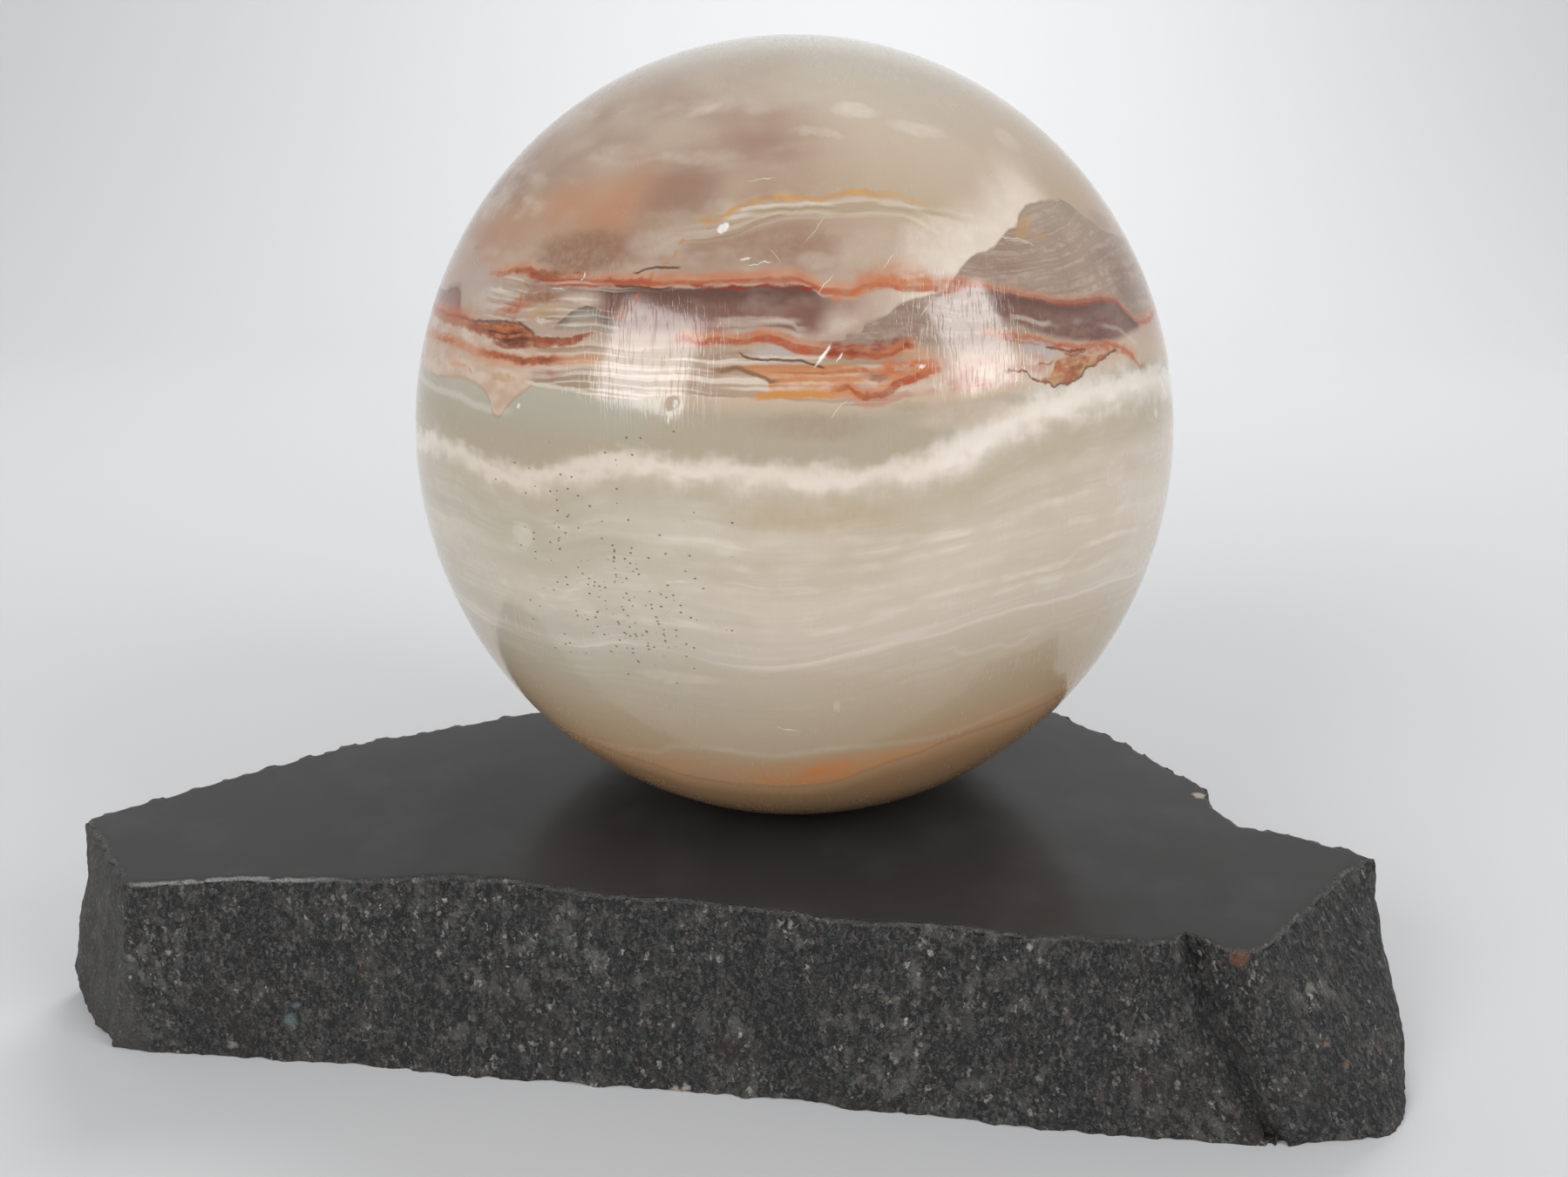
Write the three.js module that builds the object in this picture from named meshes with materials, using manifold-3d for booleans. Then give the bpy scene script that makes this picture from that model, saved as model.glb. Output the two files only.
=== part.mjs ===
// A polished ball of banded onyx in a shallow seat on a broken offcut of dark stone.
// Millimetres, +Z up. The origin is on the slab's underside, straight below the ball's centre.
import * as THREE from "three";
import { ImprovedNoise } from "three/addons/math/ImprovedNoise.js";
import { mergeVertices } from "three/addons/utils/BufferGeometryUtils.js";
import Module from "manifold-3d";

// Driving dimensions
const BALL_WIDTH = 90;
const BALL_LENGTH = 92; // the ball is a little longer along one axis than across it
const BALL_LEAN_DEG = -7; // that axis leans towards -X at its top
const SLAB_THICKNESS = 24;
const SEAT_DEPTH = 2.5; // how far the ball's lowest point is below the slab's top
const SEAT_GAP = 0.3; // clearance between the ball and its seat

// The slab's edge, anticlockwise seen from above, from the left end's front corner.
// Each station is a corner of the honed top and the shift from there to the foot of the broken face.
const FRONT_FACE = [
  [-74.5, -32, -7.5, 2],
  [-65, -30.5, -5, -1],
  [-54.5, -30.5, -4, -2],
  [-50, -31, -1, -2],
  [-36.5, -30, 0, -5],
  [-30.5, -31.5, 0, -4],
  [-20.5, -34, 0, -2.5],
  [-10.5, -35, 0, -2.5],
  [-1, -37, 0, -1.5],
  [6.5, -39, 1, -1],
  [14, -39, 1, -2],
  [25, -41.5, 2, -1.5],
  [38.5, -42, 3, -2.5],
];
const STEP = [
  [41, -41, 10, -4],
  [45.5, -44, 8, -1.5],
];
const RIGHT_END = [
  [48, -43.5, 11, -1],
  [51.5, -40.5, 12.5, -3],
  [55, -37, 12, -4],
  [63, -29, 6.5, -6],
  [67.5, -26, 2, -2],
];
const NOTCH = [
  [61, -21, 3, 1.5],
  [54.5, -18.5, 3.5, 3],
  [52.5, -14.5, 3.5, 3.5],
];
const BACK_FACE = [
  [53.5, -9.5, 1.5, 3],
  [50, -4, 1.5, 3],
  [46, 3.5, 1, 2.5],
  [39, 12.5, 1, 2],
  [30, 20.5, 1, 2],
  [18, 26, 0, 2],
  [2, 25.5, 0, 2.5],
  [-14, 21.5, 0, 2.5],
  [-28, 17, -0.5, 2],
  [-39.5, 12.5, -0.5, 2],
  [-51, 7.5, -1, 1.5],
  [-61.5, 2.5, -1, 1.5],
  [-71, -4.5, -2, 1.5],
  [-79.5, -10.5, -2, 1.5],
];
const LEFT_END = [
  [-87, -17.5, -3, -1.5],
  [-80, -26, -5.5, 0],
];
const STATIONS = [...FRONT_FACE, ...STEP, ...RIGHT_END, ...NOTCH, ...BACK_FACE, ...LEFT_END];

// The broken faces: how finely they are made, and how far they swell and roughen
const COLUMN_STEP = 2.3;
const ROWS = 9;
const SWELLS = [
  { x: 70, y: -36, z: 10, reach: 11, height: 2.8 }, // the right end bellies out below its top edge
  { x: -90, y: -19, z: 6, reach: 8, height: 2.2 }, // so does the left end's back corner
];
const LUMP = { height: 0.9, size: 13 };
const GRAIN = { height: 0.55, size: 3.4 };
const RIDGE = { height: 0.5, width: 3, length: 40, reach: 8 }; // upright ridges on the left end
const LEFT_END_X = -84;
const BALL_DETAIL = 14; // 20 * (BALL_DETAIL + 1)^2 facets

const wasm = await Module();
wasm.setup();
const noise = new ImprovedNoise();

function solidOf(geometry) {
  const bare = geometry.clone().deleteAttribute("normal").deleteAttribute("uv");
  const merged = mergeVertices(bare, 1e-4);
  return new wasm.Manifold(
    new wasm.Mesh({
      numProp: 3,
      vertProperties: merged.attributes.position.array,
      triVerts: new Uint32Array(merged.index.array),
    }),
  );
}

function geometryOf(solid) {
  const made = solid.getMesh();
  const geometry = new THREE.BufferGeometry();
  geometry.setAttribute("position", new THREE.BufferAttribute(made.vertProperties, 3));
  geometry.setIndex(new THREE.BufferAttribute(made.triVerts, 1));
  geometry.computeVertexNormals();
  return geometry;
}

// The ball's half-size straight up, which the lean makes a touch less than half its length.
function ballReachUp() {
  const lean = THREE.MathUtils.degToRad(BALL_LEAN_DEG);
  return Math.hypot((BALL_WIDTH / 2) * Math.sin(lean), (BALL_LENGTH / 2) * Math.cos(lean));
}

function ballGeometry(extra) {
  const across = BALL_WIDTH / 2 + extra;
  const geometry = new THREE.IcosahedronGeometry(1, BALL_DETAIL);
  geometry.scale(across, across, BALL_LENGTH / 2 + extra);
  geometry.rotateY(THREE.MathUtils.degToRad(BALL_LEAN_DEG));
  return geometry;
}

const BALL_CENTRE_Z = SLAB_THICKNESS - SEAT_DEPTH + ballReachUp();

// The top edge and the foot, point for point, with a column every COLUMN_STEP or so.
function edgeColumns() {
  const columns = [];
  STATIONS.forEach(([x, y, dx, dy], i) => {
    const [nextX, nextY, nextDx, nextDy] = STATIONS[(i + 1) % STATIONS.length];
    const top = new THREE.Vector2(x, y);
    const nextTop = new THREE.Vector2(nextX, nextY);
    const foot = new THREE.Vector2(x + dx, y + dy);
    const nextFoot = new THREE.Vector2(nextX + nextDx, nextY + nextDy);
    const steps = Math.max(1, Math.round(top.distanceTo(nextTop) / COLUMN_STEP));
    for (let step = 0; step < steps; step++) {
      const share = step / steps;
      columns.push({
        top: top.clone().lerp(nextTop, share),
        foot: foot.clone().lerp(nextFoot, share),
      });
    }
  });
  return columns;
}

// 1 at the place itself, fading to almost nothing at twice the reach.
function nearness(distance, reach) {
  return Math.exp(-((distance / reach) ** 2));
}

// How far the broken face stands out from the straight line between its top edge and its foot.
function faceRelief(x, y, z, share) {
  const middle = 4 * share * (1 - share);
  const swell = SWELLS.reduce(
    (sum, at) => sum + at.height * nearness(Math.hypot(x - at.x, y - at.y, z - at.z), at.reach),
    0,
  );
  const lump = LUMP.height * noise.noise(x / LUMP.size, y / LUMP.size, z / LUMP.size);
  const grain = GRAIN.height * noise.noise(x / GRAIN.size, y / GRAIN.size, z / GRAIN.size);
  const ridge = RIDGE.height * noise.noise(x / RIDGE.width, y / RIDGE.width, z / RIDGE.length);
  return swell + middle * lump + grain + nearness(x - LEFT_END_X, RIDGE.reach) * ridge;
}

// Rings of points from the top edge down to the foot.
function edgeRings(columns) {
  const rings = [];
  for (let row = 0; row <= ROWS; row++) {
    const share = row / ROWS;
    const z = SLAB_THICKNESS * (1 - share);
    const flat = columns.map(({ top, foot }) => top.clone().lerp(foot, share));
    rings.push(
      flat.map((point, i) => {
        const before = flat.at(i - 1);
        const after = flat[(i + 1) % flat.length];
        const out = new THREE.Vector2(after.y - before.y, before.x - after.x).normalize();
        point = point.clone().addScaledVector(out, faceRelief(point.x, point.y, z, share));
        return new THREE.Vector3(point.x, point.y, z);
      }),
    );
  }
  return rings;
}

function brokenSlab() {
  const rings = edgeRings(edgeColumns());
  const count = rings[0].length;
  const points = rings.flat();
  const faces = [];
  for (let row = 0; row < ROWS; row++) {
    for (let i = 0; i < count; i++) {
      const a = row * count + i;
      const b = row * count + ((i + 1) % count);
      faces.push([a, a + count, b], [b, a + count, b + count]);
    }
  }
  const flatTop = THREE.ShapeUtils.triangulateShape(rings[0], []);
  const flatFoot = THREE.ShapeUtils.triangulateShape(rings[ROWS], []);
  const footStart = ROWS * count;
  flatTop.forEach(([a, b, c]) => faces.push([a, b, c]));
  flatFoot.forEach(([a, b, c]) => faces.push([footStart + c, footStart + b, footStart + a]));
  const geometry = new THREE.BufferGeometry().setFromPoints(points);
  geometry.setIndex(faces.flat());
  return geometry;
}

function onyxBall() {
  const material = new THREE.MeshStandardMaterial({ color: "#c9bda6", roughness: 0.15, metalness: 0 });
  const mesh = new THREE.Mesh(ballGeometry(0), material);
  mesh.name = "onyx_ball";
  mesh.position.z = BALL_CENTRE_Z;
  return mesh;
}

function stoneSlab() {
  const seatCutter = ballGeometry(SEAT_GAP).translate(0, 0, BALL_CENTRE_Z);
  const slab = solidOf(brokenSlab()).subtract(solidOf(seatCutter));
  const material = new THREE.MeshStandardMaterial({ color: "#38383a", roughness: 0.5, metalness: 0 });
  const mesh = new THREE.Mesh(geometryOf(slab), material);
  mesh.name = "stone_slab";
  return mesh;
}

const onyxBallOnSlab = new THREE.Group();
onyxBallOnSlab.add(stoneSlab(), onyxBall());

export default onyxBallOnSlab;
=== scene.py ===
# %% [markdown]
# A banded onyx ball on a broken slab
#
# This lesson dresses a small stone ornament. A polished ball of banded onyx rests in a shallow
# seat on a flat offcut of dark, fine-grained stone. The solids, their sizes and their places come
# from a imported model. Here they get the shape of the last millimetre and their finish.

# %% Load the solids
import math

import bpy
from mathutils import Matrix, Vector, kdtree


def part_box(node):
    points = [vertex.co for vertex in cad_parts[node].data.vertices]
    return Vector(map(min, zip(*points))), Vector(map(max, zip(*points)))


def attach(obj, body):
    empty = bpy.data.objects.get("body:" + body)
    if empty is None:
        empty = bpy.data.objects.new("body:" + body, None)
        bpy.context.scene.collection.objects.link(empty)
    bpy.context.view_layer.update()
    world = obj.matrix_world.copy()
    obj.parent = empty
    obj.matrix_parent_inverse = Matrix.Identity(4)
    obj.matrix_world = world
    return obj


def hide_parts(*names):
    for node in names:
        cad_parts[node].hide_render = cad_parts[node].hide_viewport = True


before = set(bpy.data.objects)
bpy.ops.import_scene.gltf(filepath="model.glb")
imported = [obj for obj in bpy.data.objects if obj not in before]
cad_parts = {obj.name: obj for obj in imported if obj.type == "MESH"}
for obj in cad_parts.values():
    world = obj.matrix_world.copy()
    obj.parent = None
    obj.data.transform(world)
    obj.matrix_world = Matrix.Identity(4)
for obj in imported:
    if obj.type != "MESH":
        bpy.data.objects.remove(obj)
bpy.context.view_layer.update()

MM = 0.001

# %% [markdown]
# The camera
#
# The view is that of a hand-held close-up: the lens is about 15 cm from the ball and looks down
# by 20 degrees. Near lenses show a ball's bulge and a slab's front edge strongly, so the distance
# matters as much as the angle. The camera is placed from the ball's centre, because the ball is
# what the picture is aimed at.

# %% Place the camera
IMAGE_WIDTH_PX = 1799
FOCAL_PX = 1400
SENSOR_MM = 36.0
LOOK_DOWN_DEG = 20.0
CAMERA_FROM_BALL = Vector((-1.21, -148.87, 34.59)) * MM

ball_low, ball_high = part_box("onyx_ball")
ball_centre = (Vector(ball_low) + Vector(ball_high)) / 2
bpy.ops.object.camera_add(
    location=ball_centre + CAMERA_FROM_BALL,
    rotation=(math.radians(90 - LOOK_DOWN_DEG), 0, 0),
)
camera = bpy.context.object
camera.data.sensor_width = SENSOR_MM
camera.data.lens = FOCAL_PX / IMAGE_WIDTH_PX * SENSOR_MM
camera.data.clip_start = 2 * MM
bpy.context.scene.camera = camera
bpy.context.scene.view_settings.view_transform = "Standard"
print("ball centre at", ball_centre, "lens", round(camera.data.lens, 2), "mm")

# %% [markdown]
# Working in edit mode by code
#
# Modelling operators act on whatever is selected. So every step first deselects everything and
# then picks faces by where they are. These helpers do that, and they write vertex groups, which
# say how strongly a later modifier acts at each place.

# %% Helpers for selecting and weighting
def only(piece):
    """Selects this object alone and makes it the active one."""
    bpy.ops.object.select_all(action="DESELECT")
    piece.select_set(True)
    bpy.context.view_layer.objects.active = piece


def pick_faces(piece, wanted):
    """Goes to edit mode with only those faces selected for which wanted(face) is true."""
    only(piece)
    bpy.ops.object.mode_set(mode="EDIT")
    bpy.ops.mesh.select_mode(type="FACE")
    bpy.ops.mesh.select_all(action="DESELECT")
    bpy.ops.object.mode_set(mode="OBJECT")
    for face in piece.data.polygons:
        face.select = wanted(face)
    bpy.ops.object.mode_set(mode="EDIT")


def weigh(piece, name, weight_at):
    """A vertex group whose weight at each point is weight_at(point), from 0 to 1."""
    group = piece.vertex_groups.new(name=name)
    for vertex in piece.data.vertices:
        weight = weight_at(vertex.co)
        if weight > 0.001:
            group.add([vertex.index], min(weight, 1.0), "REPLACE")
    return group


def displace(piece, group, height, texture=None, still=0.5):
    """Moves a group's points along their normals by height times (texture - still)."""
    only(piece)
    lift = piece.modifiers.new("Displace", "DISPLACE")
    lift.vertex_group = group
    lift.strength = height
    lift.mid_level = still
    lift.texture = texture
    lift.texture_coords = "LOCAL"
    bpy.ops.object.modifier_apply(modifier=lift.name)


def bell(distance, reach):
    """1 at no distance, fading smoothly to almost nothing at twice the reach."""
    return math.exp(-((distance / reach) ** 2))


# %% [markdown]
# The slab's shape
#
# The real slab is an offcut: its top is honed flat, and the rest broke off. A break through
# fine-grained stone is rough at every scale, and its rim is nibbled by tiny chips. It could be
# sculpted by hand, but noise does it evenly and the same way each time. So a copy of the solid is
# taken, the top and the foot get a narrow border, the broken faces are divided finely, and
# modifiers roughen them. A flat margin inside the border keeps the roughness out of the top's
# shading. The flats come as long, thin triangles, which an inset would turn over. So each flat is
# deleted, its edge is closed with one big face for the insets, and the inside is filled afresh.

# %% Copy the slab and merge its points
BORDER = 1.1 * MM
MARGIN = 0.5 * MM
SIDE_CUTS = 4
SEAT_REACH = 20 * MM

slab_low, slab_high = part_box("stone_slab")
slab_top = slab_high[2]
stone = bpy.data.objects.new("slab_stone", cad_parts["stone_slab"].data.copy())
bpy.context.scene.collection.objects.link(stone)
only(stone)
stone.data.materials.clear()
bpy.ops.object.mode_set(mode="EDIT")
bpy.ops.mesh.select_all(action="SELECT")
bpy.ops.mesh.remove_doubles(threshold=0.001 * MM)
bpy.ops.object.mode_set(mode="OBJECT")
bpy.ops.mesh.customdata_custom_splitnormals_clear()
print("slab:", len(stone.data.vertices), "points, top at", round(slab_top / MM, 2), "mm")


# %% Border the flats and divide the broken faces
def is_honed_top(face):
    return face.center.z > slab_top - 0.01 * MM


def is_foot(face):
    return face.center.z < 0.01 * MM


def is_broken(face):
    off_axis = math.hypot(face.center.x, face.center.y) > SEAT_REACH
    return off_axis and not is_honed_top(face) and not is_foot(face)


def pick_open_edges(piece, wanted):
    """Goes to edit mode with only those open edges selected whose middle is wanted."""
    only(piece)
    bpy.ops.object.mode_set(mode="EDIT")
    bpy.ops.mesh.select_mode(type="EDGE")
    bpy.ops.mesh.select_all(action="DESELECT")
    bpy.ops.mesh.select_non_manifold(
        extend=False, use_wire=False, use_multi_face=False, use_non_contiguous=False, use_verts=False
    )
    bpy.ops.object.mode_set(mode="OBJECT")
    points = piece.data.vertices
    for open_edge in piece.data.edges:
        start, end = (points[i].co for i in open_edge.vertices)
        open_edge.select = open_edge.select and wanted((start + end) / 2)
    bpy.ops.object.mode_set(mode="EDIT")


def face_towards(piece, facing):
    """Turns the selected faces over unless they already face up for 1, or down for -1."""
    bpy.ops.object.mode_set(mode="OBJECT")
    area_up = sum(face.normal.z * face.area for face in piece.data.polygons if face.select)
    bpy.ops.object.mode_set(mode="EDIT")
    if facing * area_up < 0:
        bpy.ops.mesh.flip_normals()


for is_flat, facing in ((is_honed_top, 1), (is_foot, -1)):
    pick_faces(stone, is_flat)
    bpy.ops.mesh.delete(type="FACE")
    bpy.ops.object.mode_set(mode="OBJECT")
    pick_open_edges(stone, lambda middle: math.hypot(middle.x, middle.y) > SEAT_REACH)
    bpy.ops.mesh.edge_face_add()
    bpy.ops.mesh.select_mode(type="FACE")
    face_towards(stone, facing)
    bpy.ops.mesh.inset(thickness=BORDER, use_even_offset=True)
    bpy.ops.mesh.inset(thickness=MARGIN, use_even_offset=True)
    bpy.ops.mesh.delete(type="FACE")
    bpy.ops.object.mode_set(mode="OBJECT")
    pick_open_edges(stone, lambda middle: True)
    bpy.ops.mesh.fill()
    bpy.ops.mesh.select_mode(type="FACE")
    face_towards(stone, facing)
    bpy.ops.object.mode_set(mode="OBJECT")
    filled = [face for face in stone.data.polygons if face.select]
    print("filled a flat with", len(filled), "triangles, facing", facing)

broken_points = {i for face in stone.data.polygons if is_broken(face) for i in face.vertices}
pick_faces(
    stone,
    lambda face: is_broken(face) or any(i in broken_points for i in face.vertices),
)
bpy.ops.mesh.subdivide(number_cuts=SIDE_CUTS)
bpy.ops.object.mode_set(mode="OBJECT")
print("after dividing:", len(stone.data.polygons), "faces")

# %% Weigh the broken faces and the rim
FOOT_CHIPS = 0.4

rim_points = [
    stone.data.vertices[i].co
    for i in {i for face in stone.data.polygons if is_broken(face) for i in face.vertices}
    if min(abs(stone.data.vertices[i].co.z - slab_top), abs(stone.data.vertices[i].co.z)) < 0.01 * MM
]
rims = kdtree.KDTree(len(rim_points))
for i, point in enumerate(rim_points):
    rims.insert(point, i)
rims.balance()


def on_break(point):
    """1 on the broken faces, 0 on the flats and in the seat."""
    if math.hypot(point.x, point.y) < SEAT_REACH:
        return 0
    inside = min(slab_top - point.z, point.z)
    return 1 if inside > 0.02 * MM else 0


def on_rim(point):
    """1 at the top rim and less at the foot's, fading to 0 within the border."""
    distance = rims.find(point)[2]
    most = 1 if point.z > slab_top / 2 else FOOT_CHIPS
    return most * max(0, 1 - distance / (BORDER * 0.8)) ** 1.5 if distance < BORDER else 0


weigh(stone, "break", on_break)
weigh(stone, "rim", on_rim)
print("rim points:", len(rim_points))


# %% Roughen the break and chip the rim
def clouds(name, size, depth=2):
    texture = bpy.data.textures.new(name, "CLOUDS")
    texture.noise_scale = size
    texture.noise_depth = depth
    return texture


def crystals(name, size):
    texture = bpy.data.textures.new(name, "VORONOI")
    texture.noise_scale = size
    texture.noise_intensity = 1.0
    return texture


displace(stone, "break", 0.7 * MM, clouds("hackles", 3.6 * MM, depth=4))
displace(stone, "break", 0.22 * MM, crystals("grains", 0.9 * MM))
chips = clouds("chips", 1.9 * MM)
chips.contrast = 3.0
displace(stone, "rim", 0.7 * MM, chips, still=1.0)

# %% Cut the crack at the front right
CRACK_TOP_X, CRACK_FOOT_X = 41.6 * MM, 52.2 * MM
CRACK_BEND = 1.6 * MM
CRACK_WIDTH = 0.9 * MM
CRACK_DEPTH = 1.3 * MM


def in_crack(point):
    """1 along the crack's line down the front face."""
    share = 1 - point.z / slab_top
    x = CRACK_TOP_X + (CRACK_FOOT_X - CRACK_TOP_X) * share - CRACK_BEND * math.sin(share * math.pi)
    return bell(point.x - x, CRACK_WIDTH) if point.y < -34 * MM and on_break(point) else 0


weigh(stone, "crack", in_crack)
displace(stone, "crack", -CRACK_DEPTH, still=0)
for vertex in stone.data.vertices:
    vertex.co.z = min(max(vertex.co.z, 0.0), slab_top)
only(stone)
bpy.ops.object.shade_smooth_by_angle(angle=math.radians(50))
print("slab triangles:", sum(len(face.vertices) - 2 for face in stone.data.polygons))

# %% [markdown]
# The ball's shape
#
# A ball like this is ground between cups and polished by hand, so it is nearly round but not
# quite: a little longer one way, with a faint waviness. A UV sphere would pinch at its poles and
# an icosphere gives triangles only. A cube that is divided and pushed out to a sphere has even
# squares all over and no poles, so it takes later changes best.

# %% Make the ball
BALL_WIDTH = 90 * MM
BALL_LENGTH = 92 * MM
BALL_LEAN_DEG = -7
CUBE_CUTS = 23
WAVINESS = 0.12 * MM

bpy.ops.object.select_all(action="DESELECT")
bpy.ops.mesh.primitive_cube_add(size=1)
ball = bpy.context.object
ball.name = "ball_onyx"
bpy.ops.object.mode_set(mode="EDIT")
bpy.ops.mesh.subdivide(number_cuts=CUBE_CUTS)
bpy.ops.object.mode_set(mode="OBJECT")
for level, kind in enumerate(("CAST", "SUBSURF", "CAST")):
    step = ball.modifiers.new(kind, kind)
    if kind == "CAST":
        step.factor = 1
        step.radius = 1
        step.use_radius_as_size = False
        step.size = 1
    else:
        step.levels = step.render_levels = 2
    bpy.ops.object.modifier_apply(modifier=step.name)
print("ball faces:", len(ball.data.polygons))

# %% Stretch and lean the ball
bpy.ops.object.mode_set(mode="EDIT")
bpy.ops.mesh.select_all(action="SELECT")
half = Vector((BALL_WIDTH, BALL_WIDTH, BALL_LENGTH)) / 2
reach = max(vertex.co.length for vertex in ball.data.vertices)
bpy.ops.transform.resize(value=half / reach, center_override=(0, 0, 0))
bpy.ops.transform.rotate(
    value=math.radians(-BALL_LEAN_DEG), orient_axis="Y", center_override=(0, 0, 0)
)
bpy.ops.transform.translate(value=ball_centre)
bpy.ops.object.mode_set(mode="OBJECT")
weigh(ball, "all", lambda point: 1)
displace(ball, "all", WAVINESS, clouds("waviness", 22 * MM, depth=1))
print("ball box:", [round(v / MM, 2) for v in ball.dimensions])


# %% Chip the ball's surface
CHIPS = [
    (-11.1, 27.7, 0.5, 0.3),
    (-14.8, 12.9, 0.4, 0.2),
    (-36.8, 11.6, 0.3, 0.15),
    (-31, 23, 0.3, 0.15),
]
CHIP_ROOM = 1.6 * MM


def on_ball(degrees, height):
    """The place in mm from the ball's centre at an angle from the front and a height."""
    around = math.sqrt((BALL_WIDTH / 2 / MM) ** 2 - height**2)
    turn = math.radians(degrees)
    return Vector((around * math.sin(turn), -around * math.cos(turn), height))


chip_places = [ball_centre + on_ball(degrees, height) * MM for degrees, height, _, _ in CHIPS]
pick_faces(ball, lambda face: any((face.center - at).length < CHIP_ROOM for at in chip_places))
bpy.ops.mesh.subdivide(number_cuts=3, smoothness=1.0)
bpy.ops.object.mode_set(mode="OBJECT")
for i, (_, _, radius, depth) in enumerate(CHIPS):
    weigh(ball, f"chip_{i}", lambda point: bell((point - chip_places[i]).length, radius * MM))
    displace(ball, f"chip_{i}", -depth * MM, still=0)
only(ball)
bpy.ops.object.shade_smooth()
print("ball faces with chips:", len(ball.data.polygons))

# %% [markdown]
# Building materials from nodes
#
# Both stones are painted by formulas, not by pictures, so they have detail at any distance and on
# every side. The helpers below add one node and wire its inputs in one go. Sizes in the materials
# are millimetres, because the pattern's sizes are easiest to judge in those.


# %% Helpers for nodes
MIX_UNDER, MIX_OVER, MIX_COLOUR = 6, 7, 2


def node(tree, kind, values=None, **settings):
    """Adds a node. values gives its inputs, each a number, a colour or another node's output."""
    made = tree.nodes.new(kind)
    for name, value in settings.items():
        setattr(made, name, value)
    for socket, value in (values or {}).items():
        if isinstance(value, bpy.types.NodeSocket):
            tree.links.new(value, made.inputs[socket])
        else:
            made.inputs[socket].default_value = value
    return made


def calc(tree, operation, a, b=0.0):
    return node(tree, "ShaderNodeMath", {0: a, 1: b}, operation=operation).outputs[0]


def rise(tree, value, low, high):
    """0 where value is under low, 1 where it is over high, and smooth between.

    With low above high it falls instead: 1 under high, 0 over low.
    """
    made = node(
        tree,
        "ShaderNodeMapRange",
        {"Value": value, "From Min": low, "From Max": high},
        interpolation_type="SMOOTHSTEP",
        clamp=False,
    )
    return made.outputs[0]


def share_between(tree, value, low, high):
    """How far value has come from low to high, as a share that may leave 0 to 1."""
    made = node(
        tree,
        "ShaderNodeMapRange",
        {"Value": value, "From Min": low, "From Max": high},
        clamp=False,
    )
    return made.outputs[0]


def paint(red, green, blue):
    """A colour as seen on a screen, from 0 to 255, in the linear values that shaders use."""
    def linear(level):
        level /= 255
        return level / 12.92 if level <= 0.04045 else ((level + 0.055) / 1.055) ** 2.4
    return (linear(red), linear(green), linear(blue), 1.0)


def blend(tree, mask, under, over):
    made = node(
        tree,
        "ShaderNodeMix",
        {0: mask, MIX_UNDER: under, MIX_OVER: over},
        data_type="RGBA",
    )
    return made.outputs[MIX_COLOUR]


def new_group(name, inputs, outputs):
    """An empty shader node group with named sockets, and its two end nodes."""
    tree = bpy.data.node_groups.new(name, "ShaderNodeTree")
    for socket, kind in inputs.items():
        tree.interface.new_socket(name=socket, in_out="INPUT", socket_type=kind)
    for socket, kind in outputs.items():
        tree.interface.new_socket(name=socket, in_out="OUTPUT", socket_type=kind)
    return tree, tree.nodes.new("NodeGroupInput"), tree.nodes.new("NodeGroupOutput")


def use_group(tree, group, values):
    made = tree.nodes.new("ShaderNodeGroup")
    made.node_tree = group
    for socket, value in values.items():
        if isinstance(value, bpy.types.NodeSocket):
            tree.links.new(value, made.inputs[socket])
        else:
            made.inputs[socket].default_value = value
    return made


FLOAT, VECTOR, COLOUR = "NodeSocketFloat", "NodeSocketVector", "NodeSocketColor"

# %% [markdown]
# Effects used again and again
#
# Mottle is uneven tone, from soft clouding to fine grit. Specks are small separate spots: mineral
# grains in the slab, and polishing pits in the ball. Each is a node group, so it is built once and
# used wherever it is needed with its own sizes.

# %% Group: mottle
mottle, sockets_in, sockets_out = new_group(
    "Mottle",
    {"Vector": VECTOR, "Size": FLOAT, "Low": FLOAT, "High": FLOAT},
    {"Mask": FLOAT},
)
per_size = calc(mottle, "DIVIDE", 1.0, sockets_in.outputs["Size"])
tone = node(
    mottle,
    "ShaderNodeTexNoise",
    {"Vector": sockets_in.outputs["Vector"], "Scale": per_size, "Detail": 3.0, "Roughness": 0.55},
)
mottled = rise(mottle, tone.outputs[0], sockets_in.outputs["Low"], sockets_in.outputs["High"])
mottle.links.new(mottled, sockets_out.inputs["Mask"])

# %% Group: specks
specks, sockets_in, sockets_out = new_group(
    "Specks",
    {"Vector": VECTOR, "Spacing": FLOAT, "Share": FLOAT, "Radius": FLOAT},
    {"Mask": FLOAT, "Tone": FLOAT},
)
per_spacing = calc(specks, "DIVIDE", 1.0, sockets_in.outputs["Spacing"])
cells = node(
    specks,
    "ShaderNodeTexVoronoi",
    {"Vector": sockets_in.outputs["Vector"], "Scale": per_spacing},
)
lot = node(specks, "ShaderNodeSeparateColor", {0: cells.outputs["Color"]})
chosen = calc(specks, "LESS_THAN", lot.outputs[0], sockets_in.outputs["Share"])
size = calc(specks, "MULTIPLY", sockets_in.outputs["Radius"], per_spacing)
edge = calc(specks, "MULTIPLY", size, 0.5)
close = rise(specks, cells.outputs["Distance"], size, edge)
spot = calc(specks, "MULTIPLY", chosen, close)
specks.links.new(spot, sockets_out.inputs["Mask"])
specks.links.new(lot.outputs[1], sockets_out.inputs["Tone"])

# %% [markdown]
# The slab's finish
#
# The honed top is smooth enough to mirror the ball and the room dimly. Where the stone broke, the
# light scatters, and pale mineral grains half a millimetre long show against the dark mass. A
# height test tells the two finishes apart, so each chip in the rim turns rough by itself.

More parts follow.
